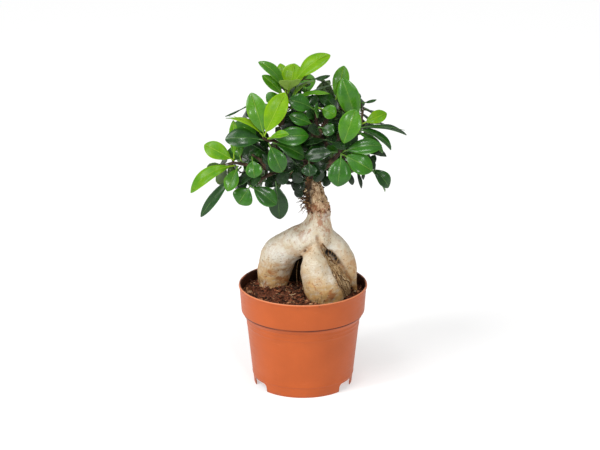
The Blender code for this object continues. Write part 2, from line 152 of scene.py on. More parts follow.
class LeafSizes(bpy.types.PropertyGroup):
    """The leaves."""

    thickness: length("Thickness", "Thickness of a blade", 0.00035)
    stalk: length("Stalk", "Length of a leaf's stalk", 0.004)
    fold: FloatProperty(name="Fold", description="Rise of each half", default=math.radians(14),
                        subtype="ANGLE")
    twigs: IntProperty(name="Inner twigs", description="Short leafy twigs tried", default=520, min=0,
                       max=2000)
    seed: IntProperty(name="Seed", description="Starts the random draws", default=7)
    oldest: colour("Oldest", "Shaded leaves deep inside", paint(12, 36, 9))
    deep: colour("Deep", "Full-grown leaves", paint(22, 64, 14))
    green: colour("Green", "Ordinary leaves", paint(46, 104, 14))
    fresh: colour("Fresh", "Leaves of this season", paint(78, 134, 12))
    young: colour("Young", "Leaves just opened", paint(118, 160, 5))


class StageSizes(bpy.types.PropertyGroup):
    """The floor, the lights and the camera."""

    lens: FloatProperty(name="Lens", description="Focal length in millimetres", default=132.66)
    distance: length("Distance", "Camera in front of the pot", 1.94)
    eye: length("Eye height", "Camera above the table", 0.807)
    aside: length("Aside", "Camera left of the pot's middle", 0.0028)
    tilt: FloatProperty(name="Tilt", description="Downwards", default=math.radians(18.6), subtype="ANGLE")
    sky: FloatProperty(name="Room light", description="Strength of the even light", default=0.45)
    key: FloatProperty(name="Key light", description="Strength of the main light", default=1.38)
    floor: colour("Floor", "Pale floor", (0.58, 0.58, 0.58))


# --- the finishes ------------------------------------------------------------------------------------


class Finish:
    """A material under construction: a principled shader with helpers that add and join nodes."""

    def __init__(self, name, **constants):
        self.material = bpy.data.materials.new(name)
        self.material.use_nodes = True
        self.tree = self.material.node_tree
        self.shader = self.tree.nodes["Principled BSDF"]
        for socket, value in constants.items():
            self.shader.inputs[socket.replace("_", " ")].default_value = value

    def add(self, kind, inputs=None, **settings):
        node = self.tree.nodes.new("ShaderNode" + kind)
        for key, value in settings.items():
            setattr(node, key, value)
        for key, value in (inputs or {}).items():
            self.plug(value, node.inputs[key])
        return node

    def plug(self, value, socket):
        """Joins a node's output to a socket, or sets the socket to a plain value."""
        if isinstance(value, bpy.types.NodeSocket):
            self.tree.links.new(value, socket)
        elif socket.type == "RGBA":
            socket.default_value = (*value, 1)
        else:
            socket.default_value = value

    def place(self, stretch=(1, 1, 1), turn=(0, 0, 0)):
        """Object coordinates, stretched so that a pattern runs along or round the piece."""
        coords = self.add("TexCoord").outputs["Object"]
        mapping = self.add("Mapping", {"Vector": coords, "Scale": stretch, "Rotation": turn})
        return mapping.outputs["Vector"]

    def grain(self, vector, size, detail=4.0, rough=0.55, twist=0.0):
        """Noise whose blotches are about size metres across."""
        inputs = {"Vector": vector, "Scale": 1 / size, "Detail": detail, "Roughness": rough,
                  "Distortion": twist}
        return self.add("TexNoise", inputs).outputs["Fac"]

    def cells(self, vector, size):
        """How far a point is from the nearest of many scattered spots, size metres apart."""
        return self.add("TexVoronoi", {"Vector": vector, "Scale": 1 / size}).outputs["Distance"]

    def ramp(self, value, *stops):
        """Turns a value into a colour through (place, colour) stops."""
        node = self.add("ValToRGB", {"Fac": value})
        elements = node.color_ramp.elements
        while len(elements) < len(stops):
            elements.new(1.0)
        for element, (place, shade) in zip(elements, stops):
            element.position = place
            element.color = (shade, shade, shade, 1) if isinstance(shade, float) else (*shade, 1)
        return node.outputs["Color"]

    def step(self, value, low, high, out_low=0.0, out_high=1.0):
        """A soft step from out_low to out_high as value goes from low to high."""
        inputs = {"Value": value, "From Min": low, "From Max": high, "To Min": out_low, "To Max": out_high}
        node = self.add("MapRange", inputs, interpolation_type="SMOOTHSTEP")
        return node.outputs["Result"]

    def sum(self, kind, first, second=0.5, clamp=False):
        node = self.add("Math", operation=kind, use_clamp=clamp)
        self.plug(first, node.inputs[0])
        self.plug(second, node.inputs[1])
        return node.outputs[0]

    def plus(self, first, second, clamp=False):
        return self.sum("ADD", first, second, clamp)

    def minus(self, first, second, clamp=False):
        return self.sum("SUBTRACT", first, second, clamp)

    def times(self, first, second):
        return self.sum("MULTIPLY", first, second)

    def swing(self, value, reach):
        """Turns a value from 0 to 1 into one that swings about 0 by half the reach."""
        return self.times(self.minus(value, 0.5), reach)

    def stored(self, name, output="Fac"):
        """A value that the piece's faces or points carry."""
        return self.add("Attribute", attribute_name=name).outputs[output]

    def mix(self, share, under, over, blend="MIX"):
        node = self.add("Mix", data_type="RGBA", blend_type=blend)
        self.plug(share, node.inputs["Factor"])
        self.plug(under, node.inputs[6])
        self.plug(over, node.inputs[7])
        return node.outputs[2]

    def split(self, vector):
        return self.add("SeparateXYZ", {"Vector": vector}).outputs

    def bump(self, height, depth, strength, under=None):
        inputs = {"Height": height, "Strength": strength, "Distance": depth}
        if under is not None:
            inputs["Normal"] = under
        return self.add("Bump", inputs).outputs["Normal"]

    def finish(self, base, roughness, normal=None):
        self.plug(base, self.shader.inputs["Base Color"])
        self.plug(roughness, self.shader.inputs["Roughness"])
        if normal is not None:
            self.plug(normal, self.shader.inputs["Normal"])
        return self.material


def pot_plastic(pot):
    """Moulded plastic: fine rings from the mould, a soft sheen, faint scuffs, a little dried soil, a painted
    highlight along the lip, painted shade under the band, and an inside darkened nearly to the lip.
    """
    f = Finish("pot_plastic", IOR=1.46, Specular_IOR_Level=0.32)
    place = f.place()
    height = f.split(place)[2]
    cloud = f.grain(place, 0.03, 3)
    speck = f.grain(place, 0.0011, 2)
    streak = f.grain(f.place((1, 1, 9)), 0.012, 5, 0.6)
    base = f.ramp(cloud, (0.3, tuple(c * 0.93 for c in pot.colour)),
                  (0.75, tuple(min(c * 1.08, 1) for c in pot.colour)))
    scuff = f.step(streak, 0.62, 0.78, 0.0, 0.22)
    base = f.mix(scuff, base, paint(226, 140, 98))
    # soil dust lies on the rim and in the corner under the lip
    rim = f.step(height, pot.height - 0.006, pot.height, 0.0, 0.55)
    dust = f.times(rim, f.step(f.grain(place, 0.004, 5, 0.7), 0.56, 0.7))
    base = f.mix(dust, base, paint(104, 66, 44))
    foot = f.times(f.step(height, 0.012, 0.0, 0.0, 0.4), f.step(f.grain(place, 0.006, 4), 0.5, 0.7))
    base = f.mix(foot, base, paint(150, 84, 52))
    # a painted highlight: the top edge of the lip is painted paler
    base = f.mix(f.step(height, pot.height - 0.0011, pot.height - 0.0003, 0.0, 0.6), base,
                 paint(226, 148, 108))
    # painted shade: a dark line is painted in the groove under the band
    groove = pot.height - pot.band - 0.0003
    groove_shade = f.times(f.step(height, groove - 0.0021, groove - 0.0007),
                      f.step(height, groove + 0.0006, groove + 0.0002))
    base = f.mix(f.times(groove_shade, f.step(cloud, 0.25, 0.6, 0.45, 0.95)), base, paint(84, 30, 12))
    # the inside is painted a near-black brown nearly up to the lip, with a ragged upper edge
    inner = f.stored("inner_wall")
    darkened_inside = f.plus(height, f.swing(f.grain(place, 0.007, 5, 0.7), 0.007))
    darkened_inside = f.times(inner, f.step(darkened_inside, pot.height + 0.0012, pot.height - 0.0008))
    base = f.mix(f.times(darkened_inside, 0.95), base,
                 f.ramp(speck, (0.35, paint(22, 12, 9)), (0.65, paint(58, 34, 24))))
    rings = f.add("TexWave", {"Vector": place, "Scale": 290.0, "Distortion": 1.2, "Detail": 2.0,
                              "Detail Scale": 0.6}, wave_type="BANDS", bands_direction="Z").outputs["Fac"]
    worn = f.times(rings, f.step(f.grain(place, 0.02, 2), 0.35, 0.65, 0.25, 1.0))
    normal = f.bump(worn, 0.00007, 0.6)
    normal = f.bump(speck, 0.00003, 0.35, normal)
    rough = f.plus(f.step(streak, 0.35, 0.75, 0.40, 0.52), f.times(dust, 0.4))
    return f.finish(base, rough, normal)


def root_skin(wood):
    """Pale root skin with tan and rust patches low down, fine dark pores and rough bark over the graft, and
    painted shade in the creases, in the hollows and on one side of the trunk.
    """
    f = Finish("root_skin", IOR=1.4, Specular_IOR_Level=0.32)
    place = f.place()
    height = f.split(place)[2]
    hollow = f.stored("hollow")
    broad = f.grain(place, 0.022, 5, 0.6)
    patch = f.grain(place, 0.0085, 6, 0.7, 0.8)
    fine = f.grain(place, 0.0028, 5, 0.65)
    wrinkle = f.grain(f.place((1, 1, 2.4)), 0.007, 6, 0.6, 0.5)
    base = f.ramp(broad, (0.3, paint(200, 174, 140)), (0.47, wood.cream), (0.66, paint(222, 218, 207)))
    lower = f.step(height, 0.155, 0.1, 0.3, 0.85)
    base = f.mix(f.times(f.step(patch, 0.46, 0.66), lower), base, wood.tan)
    speckle = f.step(f.grain(f.place((1, 1, 0.7)), 0.0024, 6, 0.85), 0.52, 0.62, 0.0, 0.8)
    base = f.mix(f.times(speckle, f.step(broad, 0.3, 0.55, 1.0, 0.45)), base, paint(178, 132, 98))
    # the front root is more weathered than the others
    front = f.step(f.split(place)[1], -0.02, -0.036, 0.0, 0.7)
    base = f.mix(f.times(front, f.step(wrinkle, 0.4, 0.6, 0.25, 1.0)), base, paint(180, 164, 138))
    # the stain rises a few centimetres out of the soil, further in some places than in others
    low = f.step(f.plus(height, f.swing(broad, 0.06)), 0.092, 0.126, 1.0, 0.0)
    stain = f.times(low, f.step(wrinkle, 0.32, 0.54, 0.4, 1.0))
    base = f.mix(stain, base, paint(196, 156, 98))
    # rust-coloured patches run down from the graft
    neck = f.times(f.step(height, 0.134, 0.158),
                   f.step(f.grain(f.place((1, 1, 0.6)), 0.0052, 5, 0.7), 0.5, 0.62))
    base = f.mix(f.times(neck, 0.75), base, paint(158, 98, 62))
    rust = f.times(low, f.step(patch, 0.5, 0.62, 0.0, 0.85))
    base = f.mix(rust, base, wood.rust)
    # short dark pores lie across the root
    pore = f.cells(f.place((1, 1, 2.2)), 0.0042)
    pores = f.times(f.step(pore, 0.22, 0.09), f.step(f.grain(place, 0.012, 3), 0.4, 0.56, 0.2, 0.95))
    base = f.mix(pores, base, paint(120, 84, 52))
    base = f.mix(f.step(fine, 0.58, 0.7, 0.0, 0.55), base, paint(158, 122, 88))
    flecks = f.grain(f.place((1, 1, 1.6)), 0.0013, 4, 0.7)
    base = f.mix(f.times(f.step(flecks, 0.6, 0.7), f.step(broad, 0.35, 0.6, 0.25, 0.7)), base,
                 paint(146, 102, 70))
    # rough bark over the graft
    over = f.plus(height, f.swing(patch, 0.024))
    barked = f.step(over, wood.graft - 0.004, wood.graft + 0.006)
    plates = f.grain(f.place((1, 1, 0.45)), 0.004, 6, 0.7, 0.8)
    bark = f.ramp(plates, (0.3, paint(74, 48, 32)), (0.41, wood.bark), (0.51, paint(184, 154, 120)),
                  (0.65, paint(222, 200, 168)))
    # painted shade: the trunk's left side is painted near black
    shaded_side = f.plus(f.split(place)[0], f.swing(patch, 0.012))
    bark = f.mix(f.step(shaded_side, 0.0142, 0.0098, 0.0, 0.93), bark, paint(30, 20, 14))
    seam = f.times(f.step(over, wood.graft - 0.008, wood.graft + 0.002),
                   f.step(over, wood.graft + 0.016, wood.graft + 0.006))
    bark = f.mix(f.times(seam, f.step(fine, 0.42, 0.58, 0.1, 0.75)), bark, paint(140, 66, 32))
    base = f.mix(barked, base, bark)
    # grime and painted shade in the creases, where the surface is closed in
    base = f.mix(f.times(f.step(hollow, 0.1, 0.36), f.step(patch, 0.4, 0.6, 0.3, 0.85)), base,
                 paint(160, 116, 72))
    # a strip of brown fibrous root between the front root and the right root
    fibre = f.stored("fibre")
    sloped = f.place(turn=(0, math.radians(28), 0))
    threads = f.grain(f.add("Mapping", {"Vector": sloped, "Scale": (4.5, 2.2, 0.4)}).outputs["Vector"],
                      0.004, 5, 0.62, 0.3)
    husk = f.ramp(threads, (0.28, paint(104, 72, 44)), (0.38, paint(160, 124, 82)),
                  (0.5, paint(200, 170, 126)), (0.68, paint(220, 200, 164)))
    base = f.mix(f.step(f.plus(fibre, f.swing(patch, 0.5)), 0.42, 0.62, 0.0, 0.95), base, husk)
    # painted shade and grime along the carved creases between the roots
    crease = f.stored("crease")
    base = f.mix(f.times(f.step(crease, 0.3, 0.85), f.step(fine, 0.3, 0.6, 0.5, 0.95)), base,
                 paint(84, 54, 30))
    # painted shade deep in the hollows between the roots, with grime, weaker over the fibrous strip
    hollow_shade_and_dirt = f.step(hollow, 0.4, 0.72, 0.0, 0.96)
    hollow_shade_and_dirt = f.times(hollow_shade_and_dirt, f.step(fibre, 0.15, 0.7, 1.0, 0.25))
    base = f.mix(hollow_shade_and_dirt, base, paint(52, 32, 19))
    # painted shade: everything inside the hollow between the roots is painted near black
    cave = f.stored("cave")
    base = f.mix(f.step(cave, 0.4, 0.6, 0.0, 0.97), base, paint(20, 12, 9))
    normal = f.bump(wrinkle, 0.0007, 0.55)
    normal = f.bump(fine, 0.0004, 0.45, normal)
    normal = f.bump(pores, 0.0004, 0.5, normal)
    normal = f.bump(f.times(plates, barked), 0.0013, 0.8, normal)
    normal = f.bump(f.times(threads, fibre), 0.0016, 0.8, normal)
    return f.finish(base, f.plus(f.step(fine, 0.3, 0.7, 0.46, 0.6), f.times(barked, 0.25)), normal)


def twig_bark(wood):
    """Brown bark of the limbs and twigs, greener towards the tips, with pale pores."""
    f = Finish("twig_bark", IOR=1.42, Specular_IOR_Level=0.3)
    place = f.place()
    patch = f.grain(place, 0.008, 5, 0.65)
    fine = f.grain(f.place((1, 1, 0.6)), 0.0016, 5, 0.7)
    base = f.ramp(patch, (0.3, paint(34, 22, 16)), (0.5, wood.twig), (0.68, paint(110, 88, 68)))
    base = f.mix(f.step(fine, 0.5, 0.7, 0.0, 0.45), base, paint(104, 84, 66))
    pores = f.step(f.cells(place, 0.003), 0.17, 0.08, 0.0, 0.6)
    base = f.mix(pores, base, paint(132, 112, 90))
    thin = f.stored("twig_age")
    base = f.mix(f.step(thin, 0.5, 1.0, 0.0, 0.7), base, paint(96, 104, 44))
    return f.finish(base, f.step(fine, 0.3, 0.7, 0.55, 0.8), f.bump(fine, 0.0006, 0.6))


def fibre_bark():
    """Dry yellowish-brown root strands."""
    f = Finish("fibre_bark", IOR=1.4, Specular_IOR_Level=0.25)
    place = f.place()
    fine = f.grain(place, 0.0022, 5, 0.7)
    tone = f.stored("strand_tone")
    base = f.ramp(f.plus(fine, f.swing(tone, 0.5)),
                  (0.2, paint(44, 28, 18)), (0.42, paint(116, 84, 54)), (0.6, paint(172, 140, 98)),
                  (0.85, paint(214, 190, 150)))
    return f.finish(base, 0.75, f.bump(fine, 0.0005, 0.6))


def peat(soil):
    """Damp peat: near-black to reddish brown."""
    f = Finish("peat", IOR=1.4, Specular_IOR_Level=0.25)
    place = f.place()
    tone = f.stored("crumb_tone")
    fine = f.grain(place, 0.0013, 5, 0.7)
    lump = f.grain(place, 0.007, 4, 0.6)
    value = f.plus(f.times(fine, 0.55), f.times(lump, 0.45))
    value = f.plus(value, f.minus(tone, 0.5))
    base = f.ramp(value, (0.12, paint(16, 10, 8)), (0.42, soil.colour), (0.62, soil.colour_red),
                  (0.82, paint(160, 108, 74)), (1.0, paint(206, 176, 138)))
    return f.finish(base, 0.86, f.bump(fine, 0.0007, 0.8))


def leaf_skin(leaves, young=False):
    """A leathery leaf: age sets the green, the midrib and veins are paler, and the underside is dull."""
    if young:
        f = Finish("young_leaf_skin", IOR=1.45, Coat_Weight=0.05, Coat_Roughness=0.3, Specular_IOR_Level=0.22)
    else:
        f = Finish("leaf_skin", IOR=1.47, Coat_Weight=0.35, Coat_Roughness=0.2, Specular_IOR_Level=0.26)
    place = f.place()
    tone = f.split(f.stored("leaf_tone", "Vector"))
    under, age, lift = tone[0], tone[1], tone[2]
    uv = f.split(f.add("UVMap", uv_map="leaf").outputs["UV"])
    along = uv[0]
    across = f.sum("ABSOLUTE", f.swing(uv[1], 2.0))
    blotch = f.grain(place, 0.009, 4, 0.6)
    mottle = f.grain(place, 0.0025, 4, 0.65)
    vary = f.swing(blotch, 0.46)
    edge = f.step(across, 0.8, 1.0, 0.0, 0.14)
    value = f.plus(f.plus(age, vary), edge, clamp=True)
    base = f.ramp(value, (0.0, leaves.oldest), (0.25, leaves.deep), (0.5, leaves.green),
                  (0.75, leaves.fresh), (1.0, leaves.young))
    # the midrib narrows to the tip
    rib_width = f.step(along, 0.0, 1.0, 0.085, 0.02)
    rib = f.times(f.minus(1.0, f.sum("DIVIDE", across, rib_width), clamp=True),
                  f.step(along, 1.0, 0.7, 0.0, 0.8))
    rib_paint = f.ramp(age, (0.0, paint(26, 66, 16)), (0.45, paint(70, 124, 36)), (1.0, paint(186, 206, 70)))
    base = f.mix(f.times(rib, 0.55), base, rib_paint)
    # side veins run out from the midrib at a slant
    slant = f.minus(f.times(along, 11.0), f.times(across, 1.9))
    vein = f.sum("ABSOLUTE", f.minus(f.sum("FRACT", slant), 0.5))
    veins = f.times(f.step(vein, 0.40, 0.5), f.step(across, 0.95, 0.2, 0.0, 1.0))
    base = f.mix(f.times(veins, 0.16), base, rib_paint)
    shadowed = f.times(f.step(across, 0.2, 0.03, 0.0, 0.32), f.minus(1.0, rib, clamp=True))
    base = f.mix(shadowed, base, f.ramp(age, (0.0, leaves.oldest), (1.0, leaves.fresh)))
    base = f.mix(f.step(mottle, 0.58, 0.8, 0.0, 0.18), base, leaves.fresh)
    # dull underside
    dull = f.ramp(age, (0.0, paint(92, 122, 78)), (0.5, paint(128, 160, 88)), (1.0, paint(176, 204, 66)))
    base = f.mix(f.times(under, 0.78), base, dull)
    # painted shade: a leaf's light share darkens the leaves deep inside the crown
    painted_shade_base = f.mix(1.0, base, f.ramp(lift, (0.0, 0.36), (0.5, 1.0), (1.0, 1.0)), "MULTIPLY")
    rough = f.plus(f.step(mottle, 0.3, 0.7, 0.25, 0.36), f.times(under, 0.34))
    quilt = f.plus(f.times(veins, -0.5), f.times(rib, -1.0))
    normal = f.bump(quilt, 0.00022, 0.5)
    normal = f.bump(blotch, 0.0016, 0.35, normal)
    normal = f.bump(mottle, 0.0001, 0.4, normal)
    return f.finish(painted_shade_base, rough, normal)


# --- shared shaping ----------------------------------------------------------------------------------


def merged_copy(node):
    """A packed node's mesh round the pot's axis, with its loose triangles joined."""
    work = bmesh.new()
    work.from_mesh(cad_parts[node].data)
    bmesh.ops.remove_doubles(work, verts=work.verts, dist=WELD)
    bmesh.ops.translate(work, verts=work.verts, vec=-AXIS)
    return work


def helper(work):
    """A passing object that carries a bmesh into a modifier."""
    mesh = bpy.data.meshes.new("helper")
    work.to_mesh(mesh)
    work.free()
    owner = bpy.data.objects.new("helper", mesh)
    bpy.context.scene.collection.objects.link(owner)
    return owner


def applied(owner, *cutters):
    """The owner's mesh with its modifiers applied, as a bmesh; the owner and cutters are removed."""
    bpy.context.view_layer.update()
    work = bmesh.new()
    work.from_object(owner, bpy.context.evaluated_depsgraph_get())
    for passing in (owner, *cutters):
        mesh = passing.data
        bpy.data.objects.remove(passing)
        bpy.data.meshes.remove(mesh)
    return work


def remeshed(work, size):
    """Fused into one skin of even faces of the given size."""
    owner = helper(work)
    remesh = owner.modifiers.new("fuse", "REMESH")
    remesh.mode = "VOXEL"
    remesh.voxel_size = size
    return applied(owner)


def soften(work, rounds, factor=0.5):
    for _ in range(rounds):
        bmesh.ops.smooth_vert(work, verts=work.verts, factor=factor,
                              use_axis_x=True, use_axis_y=True, use_axis_z=True)


def displace(work, depth):
    """Moves every point along its normal by depth(place)."""
    work.normal_update()
    moves = [depth(vert.co) for vert in work.verts]
    for vert, move in zip(work.verts, moves):
        vert.co += vert.normal * move
    work.normal_update()


def piece(name, work, finish, replaced=(), sharp=None):
    """Turns a bmesh into a finished piece that rides on the object's one body."""
    mesh = bpy.data.meshes.new(name)
    bmesh.ops.translate(work, verts=work.verts, vec=AXIS)
    work.to_mesh(mesh)
    work.free()
    mesh.materials.append(finish)
    mesh.shade_smooth()
    if sharp is not None:
        mesh.set_sharp_from_angle(angle=math.radians(sharp))
    made = bpy.data.objects.new(name, mesh)
    bpy.context.scene.collection.objects.link(made)
    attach(made, BODY)
    if replaced:
        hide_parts(*replaced)
    return made


def facing_along(direction, place):
    """A matrix that turns +Z to the direction and moves to the place."""
    turn = direction.to_track_quat("Z", "Y").to_matrix().to_4x4()
    turn.translation = place
    return turn


def pulled_out(work, edges):
    """Extrudes a ring of edges, and returns the new points and the new ring."""
    grown = bmesh.ops.extrude_edge_only(work, edges=edges)["geom"]
    verts = [item for item in grown if isinstance(item, bmesh.types.BMVert)]
    ring = [item for item in grown
            if isinstance(item, bmesh.types.BMEdge) and all(v in verts for v in item.verts)]
    return verts, ring


def add_tube(work, path, radii, sides):
    """Sweeps a ring along a path, with closed ends. Returns its faces."""
    first = set(work.faces)
    tangents = [(b - a).normalized() for a, b in zip(path, path[1:])]
    between = [(a + b).normalized() for a, b in zip(tangents, tangents[1:])]
    tangents = [tangents[0], *between, tangents[-1]]
    at = facing_along(tangents[0], path[0])
    ring = bmesh.ops.create_circle(work, cap_ends=True, radius=radii[0], segments=sides, matrix=at)["verts"]
    edges = list(dict.fromkeys(edge for vert in ring for edge in vert.link_edges))
    for index in range(1, len(path)):
        verts, edges = pulled_out(work, edges)
        swing = tangents[index - 1].rotation_difference(tangents[index]).to_matrix().to_4x4()
        scale = Matrix.Scale(radii[index] / radii[index - 1], 4)
        move = Matrix.Translation(path[index]) @ swing @ scale @ Matrix.Translation(-path[index - 1])
        bmesh.ops.transform(work, matrix=move, verts=verts)
    bmesh.ops.contextual_create(work, geom=edges)
    made = [face for face in work.faces if face not in first]
    bmesh.ops.recalc_face_normals(work, faces=made)
    return made


def smooth_path(points, steps):
    """A smooth curve through the points, with the given number of steps between two of them."""
    ends = [points[0] * 2 - points[1], *points, points[-1] * 2 - points[-2]]
    path = []
    for a, b, c, d in zip(ends, ends[1:], ends[2:], ends[3:]):
        for step in range(steps):
            t = step / steps
            path.append(0.5 * (2 * b + (c - a) * t + (2 * a - 5 * b + 4 * c - d) * t * t
                               + (3 * b - a - 3 * c + d) * t**3))
    return [*path, points[-1].copy()]


def mm(*numbers):
    return Vector(numbers) * MM


# --- the pot -----------------------------------------------------------------------------------------

NOTCHES = 3
NOTCH_CORNER = 0.0034
HOLES = 6
HOLE_RING = 0.022
HOLE_RADIUS = 0.0035
FLOOR_THICK = 0.0015


def pot_profile(pot):
    """The wall's outline as (radius, height), from the floor's middle, up the inside and down the outside."""
    top, wall = pot.height, pot.wall
    face = pot.mouth - pot.lip_proud
    band_low, band_foot = top - pot.band, face - pot.band_draft
    body_top, body = band_low - pot.shoulder, band_foot - pot.shoulder_step
    foot = body - pot.taper

    def body_radius(height):
        return foot + (body - foot) * height / body_top

    def band_face(share, inwards=0.0):
        """A point of the band's face, from its foot at 0 to the rim at 1, or of the wall behind it."""
        return band_foot - inwards + (face - band_foot) * share, band_low + (top - band_low) * share

    floor_top = pot.floor + FLOOR_THICK
    outline = [(0.0, floor_top), (0.012, floor_top), (0.03, floor_top),
               (body_radius(floor_top) - wall - 0.001, floor_top)]
    outline.append((body_radius(floor_top + 0.001) - wall, floor_top + 0.001))
    outline += [(body_radius(z) - wall, z) for z in (0.02, 0.035, 0.05, body_top - 0.0006)]
    outline += [(body - wall + 0.0004, body_top), (band_foot - wall - 0.0004, band_low - 0.0002),
                (band_foot - wall, band_low + 0.0004)]
    outline += [band_face(share, wall) for share in (0.25, 0.5, 0.75, 0.94)]
    outline += [(face - wall + 0.00012, top - 0.0004), (face - wall + 0.0004, top - 0.0001),
                (face - 0.0002, top)]
    outline += [(pot.mouth - 0.0005, top - 0.00008), (pot.mouth - 0.00015, top - 0.0004),
                (pot.mouth, top - 0.001)]
    outline += [(pot.mouth, top - 0.0017), (pot.mouth - 0.0002, top - pot.lip),
                (face, top - pot.lip - 0.00015)]
    outline += [band_face(share) for share in (0.88, 0.7, 0.5, 0.3, 0.12, 0.05)]
    # a groove under the band, then a slope at 45 degrees down to the body
    slope_foot = band_low - 0.0052
    outline += [(band_foot - 0.00002, band_low + 0.0006), (band_foot - 0.0003, band_low + 0.0001),
                (band_foot - 0.0009, band_low + 0.0001)]
    outline += [(band_foot - 0.0012, band_low - 0.0003), (band_foot - 0.0010, band_low - 0.0008),
                (band_foot - 0.0013, band_low - 0.0014)]
    for up, out in ((0.0022, 0.0020), (0.0012, 0.0011), (0.0004, 0.0005), (-0.0004, 0.00016),
                    (-0.0012, 0.00002)):
        outline.append((body_radius(slope_foot + up) + out, slope_foot + up))
    for ridge in (band_low - 0.0076, band_low - 0.0118):
        outline += [(body_radius(ridge) + 0.0002, ridge), (body_radius(ridge) + 0.0002, ridge - 0.0007)]
        outline += [(body_radius(ridge - 0.0012), ridge - 0.0012),
                    (body_radius(ridge - 0.003), ridge - 0.003)]
    outline += [(body_radius(z), z) for z in (0.045, 0.036, 0.027, 0.018, 0.0116)]
    outline += [(body_radius(0.011) + 0.0002, 0.0109), (body_radius(0.0102) + 0.0002, 0.0102),
                (body_radius(0.0094) - 0.0003, 0.0096)]
    outline += [(body_radius(0.004) - 0.0003, 0.004), (foot - 0.0003, 0.0006), (foot - 0.0008, 0.0)]
    outline += [(foot - wall, 0.0), (foot - wall, 0.003), (body_radius(pot.floor) - wall, pot.floor - 0.0002)]
    outline += [(body_radius(pot.floor) - wall - 0.001, pot.floor), (0.03, pot.floor), (0.012, pot.floor),
                (0.0, pot.floor)]
    return outline


class BONSAI_OT_pot(bpy.types.Operator):
    """Spin the pot from its profile, then cut the drain notches and the drain holes."""

    bl_idname = "bonsai.pot"
    bl_label = "Pot"

    def execute(self, context):
        pot = context.scene.bonsai_pot
        work = bmesh.new()
        verts = [work.verts.new((radius, 0, height)) for radius, height in pot_profile(pot)]
        edges = [work.edges.new(pair) for pair in zip(verts, verts[1:])]
        bmesh.ops.spin(work, geom=verts + edges, cent=(0, 0, 0), axis=(0, 0, 1), dvec=(0, 0, 0),
                       angle=math.tau, steps=180, use_merge=True, use_duplicate=False)
        bmesh.ops.remove_doubles(work, verts=work.verts, dist=WELD)
        bmesh.ops.recalc_face_normals(work, faces=work.faces)
        owner = helper(work)
        tools = bmesh.new()
        foot = pot.mouth - pot.lip_proud - pot.band_draft - pot.shoulder_step - pot.taper
        for index in range(NOTCHES):
            turn = Matrix.Rotation(math.radians(90 + 120 * index), 4, "Z")
            cut = bmesh.ops.create_cube(tools, size=1.0)["verts"]
            # the cutter reaches 10 mm below the table
            place = Matrix.Translation((foot, 0, pot.notch_height / 2 - 0.005))
            shape = Matrix.Diagonal((0.018, pot.notch_width, pot.notch_height + 0.01, 1))
            bmesh.ops.transform(tools, matrix=turn @ place @ shape, verts=cut)
            # the two upper corners of a notch are round
            radial = turn @ Vector((1, 0, 0))
            sides = dict.fromkeys(edge for vert in cut for edge in vert.link_edges)
            upper = [edge for edge in sides if all(vert.co.z > 0.001 for vert in edge.verts)
                     and abs((edge.verts[0].co - edge.verts[1].co).normalized().dot(radial)) > 0.9]
            bmesh.ops.bevel(tools, geom=upper, offset=NOTCH_CORNER, segments=6, profile=0.5, affect="EDGES",
                            material=-1)
        for index in range(HOLES):
            turn = math.radians(60 * index + 30)
            place = Matrix.Translation((HOLE_RING * math.cos(turn), HOLE_RING * math.sin(turn), pot.floor))
            bmesh.ops.create_cone(tools, cap_ends=True, segments=28, radius1=HOLE_RADIUS, radius2=HOLE_RADIUS,
                                  depth=0.01, matrix=place)
        cutter = helper(tools)
        cut = owner.modifiers.new("cut", "BOOLEAN")
        cut.operation, cut.solver, cut.object = "DIFFERENCE", "EXACT", cutter
        work = applied(owner, cutter)
        work.normal_update()
        inner = work.faces.layers.float.new("inner_wall")
        for face in work.faces:
            middle = face.calc_center_median()
            face[inner] = 1.0 if face.normal.xy.dot(middle.xy) < 0 and middle.z > pot.floor else 0.0
        piece("pot_shell", work, pot_plastic(pot), ["pot"], sharp=38)
        return {"FINISHED"}


# --- the potting mix ---------------------------------------------------------------------------------

CRUMB_SEED = 41
WALL_GAP = 0.0016


def soil_height(soil, x, y):
    """The uneven top of the mix."""
    reach = math.hypot(x, y) / MOUTH
    mound = 0.002 * (1 - reach * reach)
    mound += 0.0034 * math.exp(-(((x + 0.03) / 0.017) ** 2 + ((y + 0.003) / 0.016) ** 2))
    here = Vector((x, y, 0))
    lumps = noise.fractal(here / 0.011, 0.7, 2.1, 3) * 0.8
    lumps += noise.fractal(here / 0.0035 + Vector((9, 4, 1)), 0.6, 2.0, 3) * 0.55
    return POT_TOP - soil.drop + mound + lumps * soil.grain


